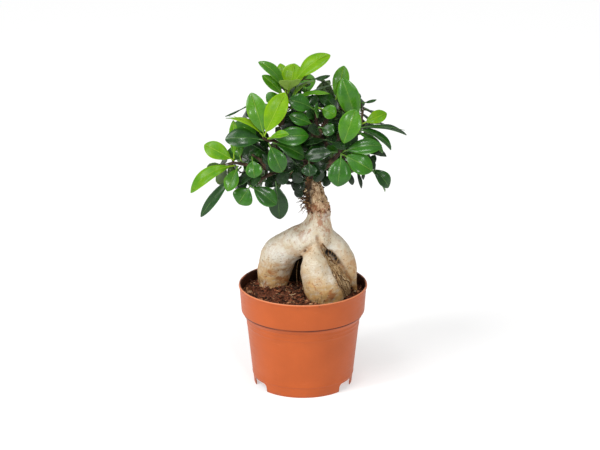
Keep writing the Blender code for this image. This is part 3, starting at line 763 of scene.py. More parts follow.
class BONSAI_OT_soil(bpy.types.Operator):
    """Lay the potting mix: a rough surface, loose crumbs and dry fibres."""

    bl_idname = "bonsai.soil"
    bl_label = "Soil"

    def execute(self, context):
        soil, pot = context.scene.bonsai_soil, context.scene.bonsai_pot
        finish = peat(soil)
        wall = pot.mouth - pot.lip_proud - pot.wall - WALL_GAP
        bed = bmesh.new()
        bmesh.ops.create_grid(bed, x_segments=128, y_segments=128, size=1.0)
        for vert in bed.verts:
            x, y = vert.co.x, vert.co.y
            x, y = x * math.sqrt(1 - y * y / 2) * wall, y * math.sqrt(1 - x * x / 2) * wall
            vert.co = (x, y, soil_height(soil, x, y) - 0.0008)
        rim = [edge for edge in bed.edges if edge.is_boundary]
        band_low = pot.height - pot.band
        body_top = band_low - pot.shoulder
        body = wall - pot.band_draft - pot.shoulder_step
        for radius, height in ((wall - pot.band_draft, band_low), (body, body_top),
                               (body - pot.taper + 0.001, pot.floor + 0.0022)):
            verts, rim = pulled_out(bed, rim)
            for vert in verts:
                flat = Vector((vert.co.x, vert.co.y)).normalized() * radius
                vert.co = (flat.x, flat.y, height)
        bmesh.ops.contextual_create(bed, geom=rim)
        bmesh.ops.recalc_face_normals(bed, faces=bed.faces)
        tone = bed.faces.layers.float.new("crumb_tone")
        for face in bed.faces:
            face[tone] = 0.5
        piece("soil_bed", bed, finish, ["soil"])

        draw = random.Random(CRUMB_SEED)
        roots = merged_copy("rootstock")
        trunk = BVHTree.FromBMesh(roots)
        roots.free()
        reach = wall - 0.0004
        crumbs = bmesh.new()
        tone = crumbs.faces.layers.float.new("crumb_tone")
        for _ in range(soil.crumbs):
            radius, turn = reach * math.sqrt(draw.random()), draw.random() * math.tau
            size = 0.0005 + 0.0016 * draw.random() ** 3.2
            x, y = radius * math.cos(turn), radius * math.sin(turn)
            shape = Vector((draw.uniform(0.6, 1.5), draw.uniform(0.6, 1.3), draw.uniform(0.4, 1.0))) * size
            spin = Matrix.Rotation(draw.random() * math.tau, 4, "Z")
            spin = spin @ Matrix.Rotation(draw.uniform(-0.7, 0.7), 4, "X")
            shade, jolt = draw.gauss(0.5, 0.16), draw.random() * 90
            place = Vector((x, y, soil_height(soil, x, y) + draw.uniform(-0.2, 0.5) * size))
            near, normal, _, _ = trunk.find_nearest(place)
            if (place - near).dot(normal) < 0 or math.hypot(x, y) + size > wall + 0.001:
                continue
            first = set(crumbs.faces)
            ball = bmesh.ops.create_icosphere(crumbs, subdivisions=1, radius=1.0)["verts"]
            for vert in ball:
                vert.co *= 1 + 0.45 * noise.noise(vert.co * 1.3 + Vector((jolt, 0, 0)))
            lay = Matrix.Translation(place) @ spin @ Matrix.Diagonal((*shape, 1))
            bmesh.ops.transform(crumbs, matrix=lay, verts=ball)
            for face in crumbs.faces:
                if face not in first:
                    face[tone] = shade
        piece("soil_crumbs", crumbs, finish)

        threads = bmesh.new()
        tone = threads.faces.layers.float.new("crumb_tone")
        for _ in range(soil.fibres):
            radius, turn = (reach - 0.004) * math.sqrt(draw.random()), draw.random() * math.tau
            x, y = radius * math.cos(turn), radius * math.sin(turn)
            lay, bend, size = draw.random() * math.tau, draw.uniform(-0.6, 0.6), draw.uniform(0.003, 0.008)
            shade, thick = draw.gauss(0.72, 0.16), draw.uniform(0.00012, 0.0003)
            place = Vector((x, y, soil_height(soil, x, y) + 0.0006))
            near, normal, _, _ = trunk.find_nearest(place)
            path = []
            for _ in range(5):
                path.append(place.copy())
                place += Vector((math.cos(lay), math.sin(lay), draw.uniform(-0.1, 0.35))) * size / 4
                lay += bend + draw.uniform(-0.3, 0.3)
            if (path[0] - near).dot(normal) < 0.001 or max(p.xy.length for p in path) > reach:
                continue
            for face in add_tube(threads, path, [thick] * 5, 4):
                face[tone] = shade
        piece("soil_fibres", threads, finish)
        return {"FINISHED"}


# --- the roots and the trunk -------------------------------------------------------------------------

STRAND_SEED = 23
# How many ways are looked at from a point to find how closed in it is.
RAYS = 14


def hollowness(work, surroundings, reach, layer_name="hollow"):
    """Stores how closed in each point is, from 0 in the open to 1 in a deep crease."""
    layer = work.verts.layers.float.new(layer_name)
    fan = []
    for index in range(RAYS):
        z = (index + 0.5) / RAYS
        flat = math.sqrt(1 - z * z)
        turn = GOLDEN_ANGLE * index
        fan.append(Vector((flat * math.cos(turn), flat * math.sin(turn), z)))
    for vert in work.verts:
        turn = vert.normal.to_track_quat("Z", "Y")
        start = vert.co + vert.normal * 0.0004
        closed = 0.0
        for ray in fan:
            hit = surroundings.ray_cast(start, turn @ ray, reach)[3]
            if hit is not None:
                closed += 1 - hit / reach * 0.6
        vert[layer] = closed / len(fan)


# How many strands lie in the brown strip, fine roots at the roots' feet, rootlets on the trunk, and flakes.
STRANDS, FINE_ROOTS, ROOTLETS, FLAKES = 36, 46, 30, 230
# Creases between the roots: depth and width in millimetres, then points along the crease.
CREASES = (
    (3.0, 2.2, ((0, -4, 124), (1, -9, 130), (3, -16, 136), (8, -18, 140), (13, -18, 141), (17, -16, 138))),
    (3.0, 2.2, ((14, -16, 147), (17, -16, 140), (21, -11, 132), (25, -9, 129))),
    (2.8, 1.8, ((24, -9, 131), (31, -9, 123), (36, -10, 117), (41, -10, 110), (44, -8, 103), (45, -7, 96),
                (45, -6, 88))),
    (2.2, 1.8, ((17, -17, 137), (21, -17, 128), (25, -20, 121), (29, -24, 113), (33, -25, 105),
                (38, -21, 96), (40, -17, 88))),
)
# Lumps of rough wood under the crown and at the graft: place and radius in millimetres.
LUMPS = ((-1, -4, 198, 4.5), (3, -6, 190, 3.8), (3, -5, 205, 5), (21, -3, 179, 2.4), (18, -6, 186, 2),
         (6, -8, 176, 2))
# The two edges of the strip of brown fibrous root between the front root and the right root.
STRIP_EDGES = (
    ((17, -16, 139), (21, -17, 129), (25, -20, 121), (29, -24, 113), (33, -25, 105), (38, -21, 96),
     (40, -17, 88)),
    ((18, -15, 141), (25, -9, 131), (31, -9, 123), (36, -10, 117), (41, -10, 110), (44, -8, 103),
     (45, -7, 92)),
)


def crease_finder():
    """Finds the nearest point of any crease, with that crease's depth and width."""
    rows = [(at, depth * MM, width * MM) for depth, width, points in CREASES
            for at in smooth_path([mm(*p) for p in points], 14)]
    tree = KDTree(len(rows))
    for index, row in enumerate(rows):
        tree.insert(row[0], index)
    tree.balance()
    return tree, rows


def root_relief(place):
    """Lumps, wrinkles across the roots, and bark ridges over the graft."""
    x, y, z = place
    broad = noise.noise(place / 0.014) * 0.0009
    mid = noise.noise(place / 0.006 + Vector((3, 7, 2))) * 0.00042
    wrinkle = noise.noise(Vector((x / 0.009, y / 0.009, z / 0.0028))) * 0.00022
    low = max(0.0, min(1.0, (0.125 - z) / 0.035))
    pits = -0.0007 * max(0.0, noise.noise(place / 0.0035 + Vector((1, 5, 9))) - 0.32) * (0.5 + low)
    smooth = broad + mid + wrinkle * (0.6 + low) + pits
    over = max(0.0, min(1.0, (z - GRAFT + 0.004) / 0.01))
    if over == 0:
        return smooth
    turn = math.atan2(y, x - 0.009)
    ridges = abs(noise.noise(Vector((turn * 2.6, z / 0.012, 1.7)))) * -0.0016
    scales = noise.fractal(Vector((x / 0.004, y / 0.004, z / 0.006)), 0.7, 2.2, 4) * 0.0007
    swell = 0.0009 * math.exp(-(((z - GRAFT - 0.002) / 0.004) ** 2))
    return smooth * (1 - over) + (broad + ridges + scales + 0.0006) * over + swell


class BONSAI_OT_rootstock(bpy.types.Operator):
    """Grow the swollen roots and the trunk with their lumps, wrinkles and bark."""

    bl_idname = "bonsai.rootstock"
    bl_label = "Rootstock"

    def execute(self, context):
        wood = context.scene.bonsai_wood
        work = merged_copy("rootstock")
        for x, y, z, radius in LUMPS:
            bmesh.ops.create_icosphere(work, subdivisions=2, radius=radius * MM,
                                       matrix=Matrix.Translation(mm(x, y, z)))
        work = remeshed(work, wood.root_grain)
        soften(work, 9)
        tree, rows = crease_finder()

        def depth(place):
            _, index, gap = tree.find(place)
            _, deep, wide = rows[index]
            return root_relief(place) - deep * math.exp(-((gap / wide) ** 2))

        displace(work, depth)
        soften(work, 1, 0.3)
        work.normal_update()
        surface = BVHTree.FromBMesh(work)
        hollowness(work, surface, 0.014)
        hollowness(work, surface, 0.045, "cave")
        cave = work.verts.layers.float["cave"]
        # what looks forward from behind the gap between the left and the front root is put in the cave, to be
        # painted near black as shade
        for vert in work.verts:
            x, y, z = vert.co - AXIS
            left = -0.0175 + (z - 0.09) * 0.25
            if y > 0.0095 and left < x < 0.02 and z < 0.131 and vert.normal.y < -0.1:
                vert[cave] = 1
        edges = [[mm(*p) for p in edge] for edge in STRIP_EDGES]
        middle = smooth_path([a.lerp(b, 0.5) for a, b in zip(*edges)], 12)
        half = smooth_path([Vector(((a - b).length / 2, 0, 0)) for a, b in zip(*edges)], 12)
        strip = KDTree(len(middle))
        for index, at in enumerate(middle):
            strip.insert(at, index)
        strip.balance()
        fibre, crease = work.verts.layers.float.new("fibre"), work.verts.layers.float.new("crease")
        for vert in work.verts:
            _, index, gap = strip.find(vert.co)
            vert[fibre] = math.exp(-((gap / (half[index].x + 0.0009)) ** 2))
            _, index, gap = tree.find(vert.co)
            vert[crease] = math.exp(-((gap / rows[index][2] * 1.2) ** 2))
        piece("root_body", work, root_skin(wood), ["rootstock"])

        finish = fibre_bark()
        draw = random.Random(STRAND_SEED)
        strands = bmesh.new()
        for _ in range(STRANDS):
            share, start, stop = draw.uniform(0.1, 0.95), draw.choice((0, 0, 1, 2, 3)), draw.choice((5, 7, 7))
            radius = draw.choice((0.2, 0.3, 0.45, 0.7)) * MM
            path = [a.lerp(b, min(max(share + draw.gauss(0, 0.13), 0), 1))
                    for a, b in zip(*edges)][start:stop]
            self.lay(strands, surface, path, radius, draw, draw.gauss(0.6, 0.2))
        # a pale root hangs in the dark gap behind the front root
        self.lay(strands, None, [mm(3, 4, 124), mm(1, 3, 112), mm(1.5, 2, 101), mm(-1, 0, 88)],
                 0.45 * MM, draw, 0.85)
        self.lay(strands, None, [mm(-4, 8, 118), mm(-6, 5, 106), mm(-5, 3, 88)], 0.3 * MM, draw, 0.5)
        # fine roots run off the feet of the big roots
        for _ in range(FINE_ROOTS):
            turn = draw.random() * math.tau
            x, y, out = draw.choice(((-27, 14, 15), (25, -20, 17), (46, -6, 4), (40, -12, 8), (-6, 30, 12)))
            start = mm(x + out * math.cos(turn), y + out * math.sin(turn), draw.uniform(92, 99))
            end = start + mm(draw.uniform(2, 7) * math.cos(turn), draw.uniform(2, 7) * math.sin(turn), -9)
            if end.xy.length < MOUTH - 0.005:
                path = [start, start.lerp(end, 0.5) + mm(*(draw.uniform(-2, 2) for _ in range(3))), end]
                self.lay(strands, surface, path, draw.uniform(0.15, 0.4) * MM, draw, draw.gauss(0.45, 0.2))
        # short tangled rootlets stand out from the left of the trunk
        for _ in range(ROOTLETS):
            start = mm(draw.uniform(2, 6), draw.uniform(-9, 2), draw.uniform(172, 188))
            way = Vector((-1, draw.uniform(-0.8, 0.5), draw.uniform(-0.7, 0.5)))
            path = [start]
            for _ in range(4):
                path.append(path[-1] + way.normalized() * draw.uniform(0.0014, 0.0034))
                way += Vector([draw.uniform(-0.8, 0.8) for _ in range(3)])
            self.lay(strands, None, path, draw.uniform(0.2, 0.6) * MM, draw, draw.gauss(0.16, 0.14))
        piece("root_strands", strands, finish)

        # loose flakes of bark over the graft, with some rust-coloured ones along it
        flakes = bmesh.new()
        tone = flakes.faces.layers.float.new("strand_tone")
        for index in range(FLAKES):
            turn, height = draw.random() * math.tau, draw.uniform(0.166, 0.202)
            outside = Vector((0.013 + 0.014 * math.cos(turn), 0.014 * math.sin(turn), height))
            near, normal, _, _ = surface.find_nearest(outside)
            size = draw.uniform(0.0006, 0.0018)
            first = set(flakes.faces)
            grid = bmesh.ops.create_grid(flakes, x_segments=3, y_segments=2, size=1.0)["verts"]
            lift, twist = draw.uniform(0.1, 0.9), draw.uniform(-0.5, 0.5)
            for vert in grid:
                u, v = vert.co.x, vert.co.y
                ragged = 1 + 0.4 * noise.noise(vert.co * 2 + Vector((index, 0, 0)))
                w = (0.25 * u + lift * 0.4 * (u + 1) ** 2 / 2 + twist * u * v) * 0.5
                vert.co = Vector((u * ragged, v * ragged * 0.45, w)) * size
            spin = Matrix.Rotation(draw.random() * math.tau, 4, "Z")
            lay = facing_along(normal, near - normal * 0.0001) @ spin
            bmesh.ops.transform(flakes, matrix=lay, verts=grid)
            shade = draw.gauss(0.3, 0.2) if height < 0.172 else draw.gauss(0.5, 0.26)
            made = [face for face in flakes.faces if face not in first]
            bmesh.ops.solidify(flakes, geom=made, thickness=0.0002)
            for face in flakes.faces:
                if face not in first:
                    face[tone] = shade
        piece("bark_flakes", flakes, finish)
        return {"FINISHED"}

    def lay(self, work, surface, points, radius, draw, shade):
        """A root strand through the points, lying on the surface when there is one."""
        tone = work.faces.layers.float.get("strand_tone") or work.faces.layers.float.new("strand_tone")
        path = smooth_path(points, 5)
        if surface:
            snapped = [surface.find_nearest(at) for at in path]
            path = [near + normal * radius * draw.uniform(0.1, 0.7) for near, normal, _, _ in snapped]
        kept = [path[0]]
        for at in path[1:]:
            if (at - kept[-1]).length > 0.0006:
                kept.append(at)
        if len(kept) < 3:
            return
        radii = [radius * draw.uniform(0.75, 1.15) * (1 - 0.45 * i / len(kept)) for i in range(len(kept))]
        for face in add_tube(work, kept, radii, 6):
            face[tone] = shade


# --- the grafted wood --------------------------------------------------------------------------------


def twig_relief(place):
    return noise.noise(place / 0.006) * 0.0004 + noise.fractal(place / 0.0025, 0.7, 2.1, 3) * 0.00016


class BONSAI_OT_limbs(bpy.types.Operator):
    """Roughen the grafted limbs."""

    bl_idname = "bonsai.limbs"
    bl_label = "Limbs"

    def execute(self, context):
        wood = context.scene.bonsai_wood
        work = remeshed(merged_copy("scion_wood"), wood.twig_grain)
        soften(work, 5)
        displace(work, twig_relief)
        piece("scion_limbs", work, twig_bark(wood), ["scion_wood"])
        return {"FINISHED"}


# --- the leaves --------------------------------------------------------------------------------------


class LeafForm:
    """A leaf's place: its foot and tip, how far its midrib bows, which way is across, and its width."""

    def __init__(self, foot, tip, bow, across, width, stalk, fold):
        self.foot, self.tip, self.bow, self.across = foot, tip, bow, across
        self.width, self.stalk, self.fold = width, stalk, fold
        self.length = (tip - foot).length

    def spine(self, share):
        """A point of the midrib, from the foot at 0 to the tip at 1."""
        return self.foot.lerp(self.tip, share) + self.bow * (4 * share * (1 - share))

    def upper(self, share):
        """The way out of the upper face."""
        tangent = (self.tip - self.foot + self.bow * (4 - 8 * share)).normalized()
        return tangent.cross(self.across).normalized()

    def half(self, along):
        """Half the blade's width, with along from 0 at the stalk to 1 at the tip."""
        return self.width / 2 * max(math.sin(math.pi * min(along, 1.0) ** 1.2), 0.0) ** 0.65


def packed_leaf(node, leaves):
    """Reads a packed leaf's place from its mesh: eight stations of six points each."""
    work = merged_copy(node)
    points = [vert.co.copy() for vert in work.verts]
    work.free()
    _, first, last = max(((a - b).length, i, j)
                         for i, a in enumerate(points) for j, b in enumerate(points[:i]))
    foot, tip = points[first], points[last]

    def spread(end, other):
        """How wide the leaf is about a stalk's length in from one end."""
        axis = (other - end).normalized()
        near = [p for p in points if (p - end).dot(axis) < leaves.stalk * 1.35]
        return max((p - end - axis * (p - end).dot(axis)).length for p in near)

    if spread(foot, tip) > spread(tip, foot):
        foot, tip = tip, foot
    axis = (tip - foot).normalized()
    points.sort(key=lambda p: (p - foot).dot(axis))
    foot = sum(points[:6], Vector()) / 6
    ends = [p for p in points if (p - tip).dot(axis) > -0.0008]
    tip = sum(ends, Vector()) / len(ends)
    length = (tip - foot).length
    axis = (tip - foot).normalized()
    inner = [p for p in points if leaves.stalk * 1.3 < (p - foot).dot(axis) < length - 0.001]
    _, i, j = max(((a - b).length, i, j) for i, a in enumerate(inner) for j, b in enumerate(inner[:i])
                  if abs((a - b).normalized().dot(axis)) < 0.25)
    across = inner[i] - inner[j]
    across = (across - axis * across.dot(axis)).normalized()
    out = axis.cross(across)
    middle = (inner[i] + inner[j]) / 2
    offset = [((p - foot).dot(axis) / length, (p - foot).dot(across), (p - foot).dot(out)) for p in inner]
    centre = sum(v for _, v, _ in offset) / len(offset)
    ribs = [(s, w) for s, v, w in offset if abs(v - centre) < 0.001]
    bow_height = sum(w * 4 * s * (1 - s) for s, w in ribs) / sum((4 * s * (1 - s)) ** 2 for s, w in ribs)
    bow = out * bow_height
    share = (middle - foot).dot(axis) / length
    raised = (middle - foot).dot(out) - bow_height * 4 * share * (1 - share)
    if raised < 0:
        across = -across
    form = LeafForm(foot, tip, bow, across, 1.0, leaves.stalk, leaves.fold)
    widths = []
    for s, v, w in offset:
        if abs(v - centre) > 0.001:
            along = (s * length - leaves.stalk) / (length - leaves.stalk)
            widths.append(2 * abs(v - centre) / max(form.half(along) * 2, 0.1))
    form.width = sorted(widths)[len(widths) // 2] / math.cos(leaves.fold)
    return form


def new_leaf(foot, along, facing, length, width, arch, leaves):
    """A leaf from its foot, its direction and the direction that its upper face looks to."""
    along = along.normalized()
    upper = (facing - along * facing.dot(along)).normalized()
    return LeafForm(foot, foot + along * length, upper * arch, upper.cross(along), width,
                    leaves.stalk, leaves.fold)


def lay_blade(work, form, draw, spans=24, cross=10):
    """Lays a blade's middle surface: folded along the midrib, curled at the margin and gently waved."""
    uv = work.loops.layers.uv.verify()
    waves = [(draw.uniform(0.0001, 0.0005), draw.uniform(1.2, 2.6), draw.random() * math.tau)
             for _ in range(2)]
    curl, tuck = draw.uniform(0.2, 1.0), draw.uniform(0.02, 0.2)
    skew = draw.uniform(-0.05, 0.05)
    grid = bmesh.ops.create_grid(work, x_segments=spans, y_segments=cross, size=1.0)["verts"]
    flat = {}
    blade = form.length - form.stalk
    rise = math.tan(form.fold)
    for vert in grid:
        t, v = (vert.co.x + 1) / 2, vert.co.y
        along = 0.6 * t + 0.4 * (1 - math.cos(math.pi * t)) / 2
        share = (form.stalk + blade * along) / form.length
        half = max(form.half(along) * (1 + skew * v * math.sin(math.pi * along)), 0.0004)
        up = form.upper(share)
        fade = math.sin(math.pi * along) ** 0.5 if 0 < along < 1 else 0.0
        amount, turns, phase = waves[0 if v < 0 else 1]
        lift = half * (rise * (math.sqrt(v * v + 0.012) - 0.11) - curl * 0.3 * v**4)
        lift += amount * fade * v * v * math.sin(turns * math.tau * along + phase)
        lift -= tuck * form.length * along**4 * 0.55
        vert.co = form.spine(share) + form.across * (v * half) + up * lift
        flat[vert] = (along, 0.5 + v / 2)
    faces = list(dict.fromkeys(face for vert in grid for face in vert.link_faces))
    for face in faces:
        for loop in face.loops:
            loop[uv].uv = flat[loop.vert]
    return faces


def lay_leaf(work, form, age, lift, draw, leaves, spans=24, cross=10, sides=6):
    """Adds a whole leaf: the blade with its thickness, and the stalk that runs on under it as a midrib."""
    tone = work.faces.layers.float_vector.get("leaf_tone") or work.faces.layers.float_vector.new("leaf_tone")
    uv = work.loops.layers.uv.get("leaf") or work.loops.layers.uv.new("leaf")
    top = lay_blade(work, form, draw, spans, cross)
    work.normal_update()
    if sum((face.normal.dot(form.upper(0.5)) for face in top)) < 0:
        bmesh.ops.reverse_faces(work, faces=top)
    before = set(work.faces)
    bmesh.ops.solidify(work, geom=top, thickness=leaves.thickness)
    for face in top:
        face[tone] = (0, age, lift)
    added = [face for face in work.faces if face not in before]
    for face in added:
        face[tone] = (1, age, lift)
    for face in top + added:
        for edge in face.edges:
            if len({f[tone][0] for f in edge.link_faces}) > 1:
                edge.smooth = False
    stem = form.stalk / form.length
    steps = [0.0, 0.05, 0.12] + [stem * 1.15 + (0.93 - stem) * t for t in (0, 0.2, 0.45, 0.7, 1.0)]
    path, radii = [], []
    for index, share in enumerate(sorted(steps)):
        radius = 0.0007 * (1 - 0.78 * share) * (1.25 if index == 0 else 1)
        below = leaves.thickness * 0.5 + radius * 0.35 if share > 0.12 else 0
        path.append(form.spine(share) - form.upper(share) * below)
        radii.append(radius)
    if sides == 3:
        path, radii = path[::2], radii[::2]
    for face in add_tube(work, path, radii, sides):
        face[tone] = (0.35, min(age + 0.18, 1), lift)
        for loop in face.loops:
            loop[uv].uv = (0.4, 0.9)


# How old each leaf looks: 1 has just opened, 0 is the oldest.
AGES = {
    "leaf_young": (0.86, 1.0),
    "leaf_mature": (0.18, 0.58),
}
KNOWN_AGES = {
    "leaf_crown_1": 0.88, "leaf_crown_2": 0.58, "leaf_crown_3": 0.93, "leaf_crown_4": 0.8,
    "leaf_crown_5": 0.66, "leaf_crown_6": 0.68, "leaf_crown_9": 0.55, "leaf_crown_10": 0.68,
    "leaf_leader_1": 0.62, "leaf_leader_2": 0.4, "leaf_heart_1": 0.42, "leaf_heart_2": 0.3,
    "leaf_heart_low_1": 0.16, "leaf_low_front_1": 0.12, "leaf_left_front_1": 0.91,
    "leaf_left_front_2": 0.66, "leaf_left_front_3": 0.97, "leaf_left_front_4": 0.76,
    "leaf_left_front_5": 0.42, "leaf_left_front_6": 0.26, "leaf_left_front_7": 0.42,
    "leaf_left_front_8": 0.38, "leaf_left_low_1": 0.8, "leaf_left_low_2": 0.8, "leaf_left_low_3": 0.8,
    "leaf_left_low_4": 0.22, "leaf_left_low_5": 0.6, "leaf_left_low_6": 0.6, "leaf_left_bud_1": 0.5,
    "leaf_left_drop_1": 0.48, "leaf_left_drop_2": 0.36, "leaf_right_1": 0.56, "leaf_right_top_1": 0.68,
    "leaf_right_front_1": 0.62, "leaf_right_front_2": 0.44, "leaf_right_front_3": 0.52,
    "leaf_right_front_4": 0.42, "leaf_right_front_5": 0.1, "leaf_right_low_1": 0.26, "leaf_back_top_1": 0.6,
    "leaf_crown_7": 0.8, "leaf_back_left_2": 0.7,
}
# Leaves that differ from their packed solid: share of the width, and the length of the stalk.
RESHAPED = {"leaf_left_low_4": (0.64, 0.013), "leaf_crown_6": (0.7, 0.004), "leaf_crown_1": (1.12, 0.012)}


class BONSAI_OT_leaves(bpy.types.Operator):
    """Lay a real leaf over every packed leaf."""

    bl_idname = "bonsai.leaves"
    bl_label = "Leaves"

    def execute(self, context):
        leaves = context.scene.bonsai_leaves
        finishes = {"leaf_mature": leaf_skin(leaves), "leaf_young": leaf_skin(leaves, True)}
        for node in sorted(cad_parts):
            if not node.startswith("leaf_"):
                continue
            draw = random.Random(node)
            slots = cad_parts[node].material_slots
            slot = "leaf_young" if slots and "young" in slots[0].name else "leaf_mature"
            age = KNOWN_AGES.get(node, draw.uniform(*AGES[slot]))
            work = bmesh.new()
            form = packed_leaf(node, leaves)
            if node in RESHAPED:
                share, form.stalk = RESHAPED[node]
                form.width *= share
            lay_leaf(work, form, age, 0.5, draw, leaves)
            piece(node.replace("leaf_", "blade_"), work, finishes[slot], [node])
        return {"FINISHED"}


# The crown's edge from the front, as x and z in millimetres on the upright plane through the pot's axis.
CROWN_EDGE = (
    (-38, 311), (-28, 310), (-21, 309), (-15, 312), (-11, 309), (-1, 307), (11, 321), (24, 319), (19, 307),
    (9, 300), (22, 297), (26, 301), (39, 305), (45, 295), (53, 283), (55, 274), (67, 274), (58, 267),
    (76, 261), (72, 254), (98, 245), (84, 245), (67, 249), (84, 231), (73, 236), (75, 228), (77, 222),
    (69, 222), (64, 216), (73, 211), (80, 199), (79, 190), (75, 187), (68, 199), (60, 209), (52, 206),
    (54, 190), (47, 199), (40, 205), (38, 199), (33, 192), (26, 196), (23, 205), (18, 203), (20, 193),
    (10, 184), (-2, 184), (-8, 190), (-10, 200), (-19, 203), (-18, 190), (-16, 172), (-18, 160), (-28, 162),
    (-35, 172), (-43, 178), (-47, 187), (-50, 189), (-50, 175), (-55, 172), (-66, 178), (-71, 187),
    (-80, 178), (-90, 163), (-97, 161), (-97, 172), (-86, 190), (-79, 196), (-90, 196), (-105, 186),
    (-106, 190), (-102, 202), (-90, 215), (-76, 218), (-88, 225), (-93, 230), (-85, 238), (-75, 234),
    (-70, 222), (-68, 235), (-72, 235), (-71, 246), (-66, 254), (-70, 258), (-57, 269), (-52, 279),
    (-45, 282), (-39, 275), (-32, 275), (-28, 282), (-34, 287), (-37, 296), (-31, 298),
)
# The middle of the crown, and how far it reaches from there along x, y and z, in millimetres.
CROWN_CORE = mm(3, 8, 232)
CROWN_REACH = (94, 66, 78)
# The inner leaves: the shortest and the longest, the least and the greatest width as a share of the
# length, and how far apart they stand on their twig.
INNER_LENGTHS = (0.019, 0.034)
INNER_WIDTHS = (0.42, 0.56)
LEAF_GAP = 0.0012
# How far back a single leaf may move to clear the others, in millimetres, in the order tried.
PUSHES = (0, 4, -3, 8, 12, 16, -6, 20)
# Single leaves between the rosettes: foot and tip in millimetres, width, how many degrees the upper
# face looks to the front, age and light.
SINGLE_LEAVES = (
    ((33, -20, 229), (13, -24, 220), 12, 60, 0.14, 0.3),
    ((25, -18, 222), (8, -22, 212), 12, 60, 0.1, 0.25),
    ((17, -12, 213), (3, -18, 222), 12, 60, 0.16, 0.3),
    ((-16, -20, 223), (-34, -24, 216), 13, 60, 0.14, 0.3),
    ((-9, -16, 214), (-24, -20, 203), 12, 62, 0.1, 0.25),
    ((-25, -20, 229), (-37, -24, 222), 12, 60, 0.2, 0.35),
    ((-1, -12, 209), (-17, -18, 213), 12, 60, 0.12, 0.28),
    ((0, -14, 216), (-8, -18, 202), 12, 62, 0.08, 0.2),
    ((8, -14, 214), (17, -16, 202), 12, 62, 0.1, 0.22),
    ((-6, -18, 224), (-20, -22, 230), 13, 60, 0.2, 0.35),
    ((-32, -22, 220), (-44, -26, 227), 12, 55, 0.3, 0.4),
    ((14, -8, 204), (25, -10, 197), 11, 62, 0.08, 0.2),
    ((3, -10, 205), (-6, -12, 192), 12, 64, 0.05, 0.15),
    ((3, -9, 201), (-10, -12, 196), 12, 60, 0.05, 0.15),
    ((1, -8, 196), (-6, -10, 184), 9, 64, 0.05, 0.15),
    ((-52, 2, 267), (-71, -4, 259), 2, 85, 0.2, 0.5),
    ((-19, 6, 279), (-34, 2, 272), 13, 60, 0.55, 0.6),
    ((6, 4, 292), (25, 2, 296), 4, 85, 0.25, 0.5),
    ((9, 8, 278), (30, 4, 269), 13, 50, 0.35, 0.4),
    ((14, 14, 275), (20, 10, 264), 12, 60, 0.15, 0.25),
    ((-5, 6, 266), (-18, 0, 249), 13, 60, 0.12, 0.3),
    ((9, 8, 254), (-14, 2, 251), 11, 30, 0.22, 0.35),
    ((5, 14, 261), (-12, 12, 258), 13, 60, 0.1, 0.2),
    ((-30, 2, 231), (-56, -2, 221), 17, 55, 0.16, 0.35),
    ((-27, 4, 227), (-52, 2, 212), 15, 60, 0.1, 0.25),
    ((-27, 4, 230), (1, -4, 208), 17, 65, 0.2, 0.4),
    ((-21, 10, 227), (0, 8, 217), 16, 60, 0.08, 0.2),
    ((-14, 4, 203), (-36, 0, 192), 11, 60, 0.1, 0.25),
    ((-15, 2, 202), (-27, 0, 211), 12, 60, 0.12, 0.25),
    ((-13, 4, 200), (-15, 0, 193), 10, 60, 0.08, 0.2),
    ((-47, 2, 194), (-64, 0, 193), 15, 60, 0.12, 0.3),
    ((-48, 4, 195), (-53, 2, 207), 12, 60, 0.12, 0.3),
    ((1, 2, 196), (-9, -4, 189), 14, 60, 0.04, 0.15),
    ((2, -2, 195), (-3, -6, 184), 12, 60, 0.04, 0.15),
    ((0, 4, 197), (-10, 0, 195), 12, 60, 0.05, 0.15),
    ((10, 0, 204), (17, -4, 194), 15, 60, 0.05, 0.2),
    ((10, 4, 203), (22, 2, 204), 14, 60, 0.08, 0.2),
    ((40, 6, 207), (46, 2, 192), 6, 40, 0.1, 0.25),
    ((48, 6, 209), (54, 2, 189), 4, 20, 0.1, 0.25),
    ((52, 8, 206), (56, 6, 196), 4, 20, 0.1, 0.25),
    ((53, 4, 270), (67, 0, 274), 3, 85, 0.3, 0.5),
    ((55, 6, 222), (77, 0, 222), 10, 20, 0.12, 0.3),
    ((57, 8, 218), (67, 4, 214), 10, 50, 0.1, 0.3),
    ((34, -4, 223), (22, -8, 233), 10, 50, 0.5, 0.5),
    ((36, -4, 225), (47, -8, 227), 8, 50, 0.45, 0.45),
    ((34, 6, 250), (19, 2, 234), 14, 60, 0.14, 0.3),
    ((32, 8, 254), (22, 4, 251), 11, 60, 0.2, 0.35),
    ((28, 8, 265), (31, 4, 248), 14, 60, 0.16, 0.3),
    ((-36, 4, 236), (-63, 0, 253), 15, 55, 0.5, 0.5),
    ((-60, 4, 235), (-64, 0, 216), 14, 65, 0.45, 0.5),
    ((-49, 4, 232), (-59, 2, 221), 12, 60, 0.3, 0.4),
    ((0, 6, 241), (-15, 4, 256), 12, 60, 0.3, 0.4),
    ((3, 8, 234), (6, 4, 251), 14, 60, 0.18, 0.3),
    ((0, 4, 219), (3, 0, 233), 13, 60, 0.3, 0.35),
    ((14, -8, 254), (5, -12, 270), 13, 60, 0.34, 0.45),
    ((14, -6, 266), (5, -10, 278), 12, 60, 0.3, 0.4),
    ((-38, -8, 203), (-51, -12, 197), 14, 60, 0.25, 0.4),
    ((-36, -6, 217), (-49, -10, 228), 15, 60, 0.3, 0.4),
    ((-43, -6, 207), (-54, -10, 218), 12, 60, 0.32, 0.42),
    ((6, -8, 231), (14, -12, 242), 12, 60, 0.3, 0.4),
    ((-16, -8, 218), (-6, -12, 211), 13, 60, 0.2, 0.35),
    ((-6, -8, 229), (3, -12, 221), 12, 60, 0.22, 0.35),
)


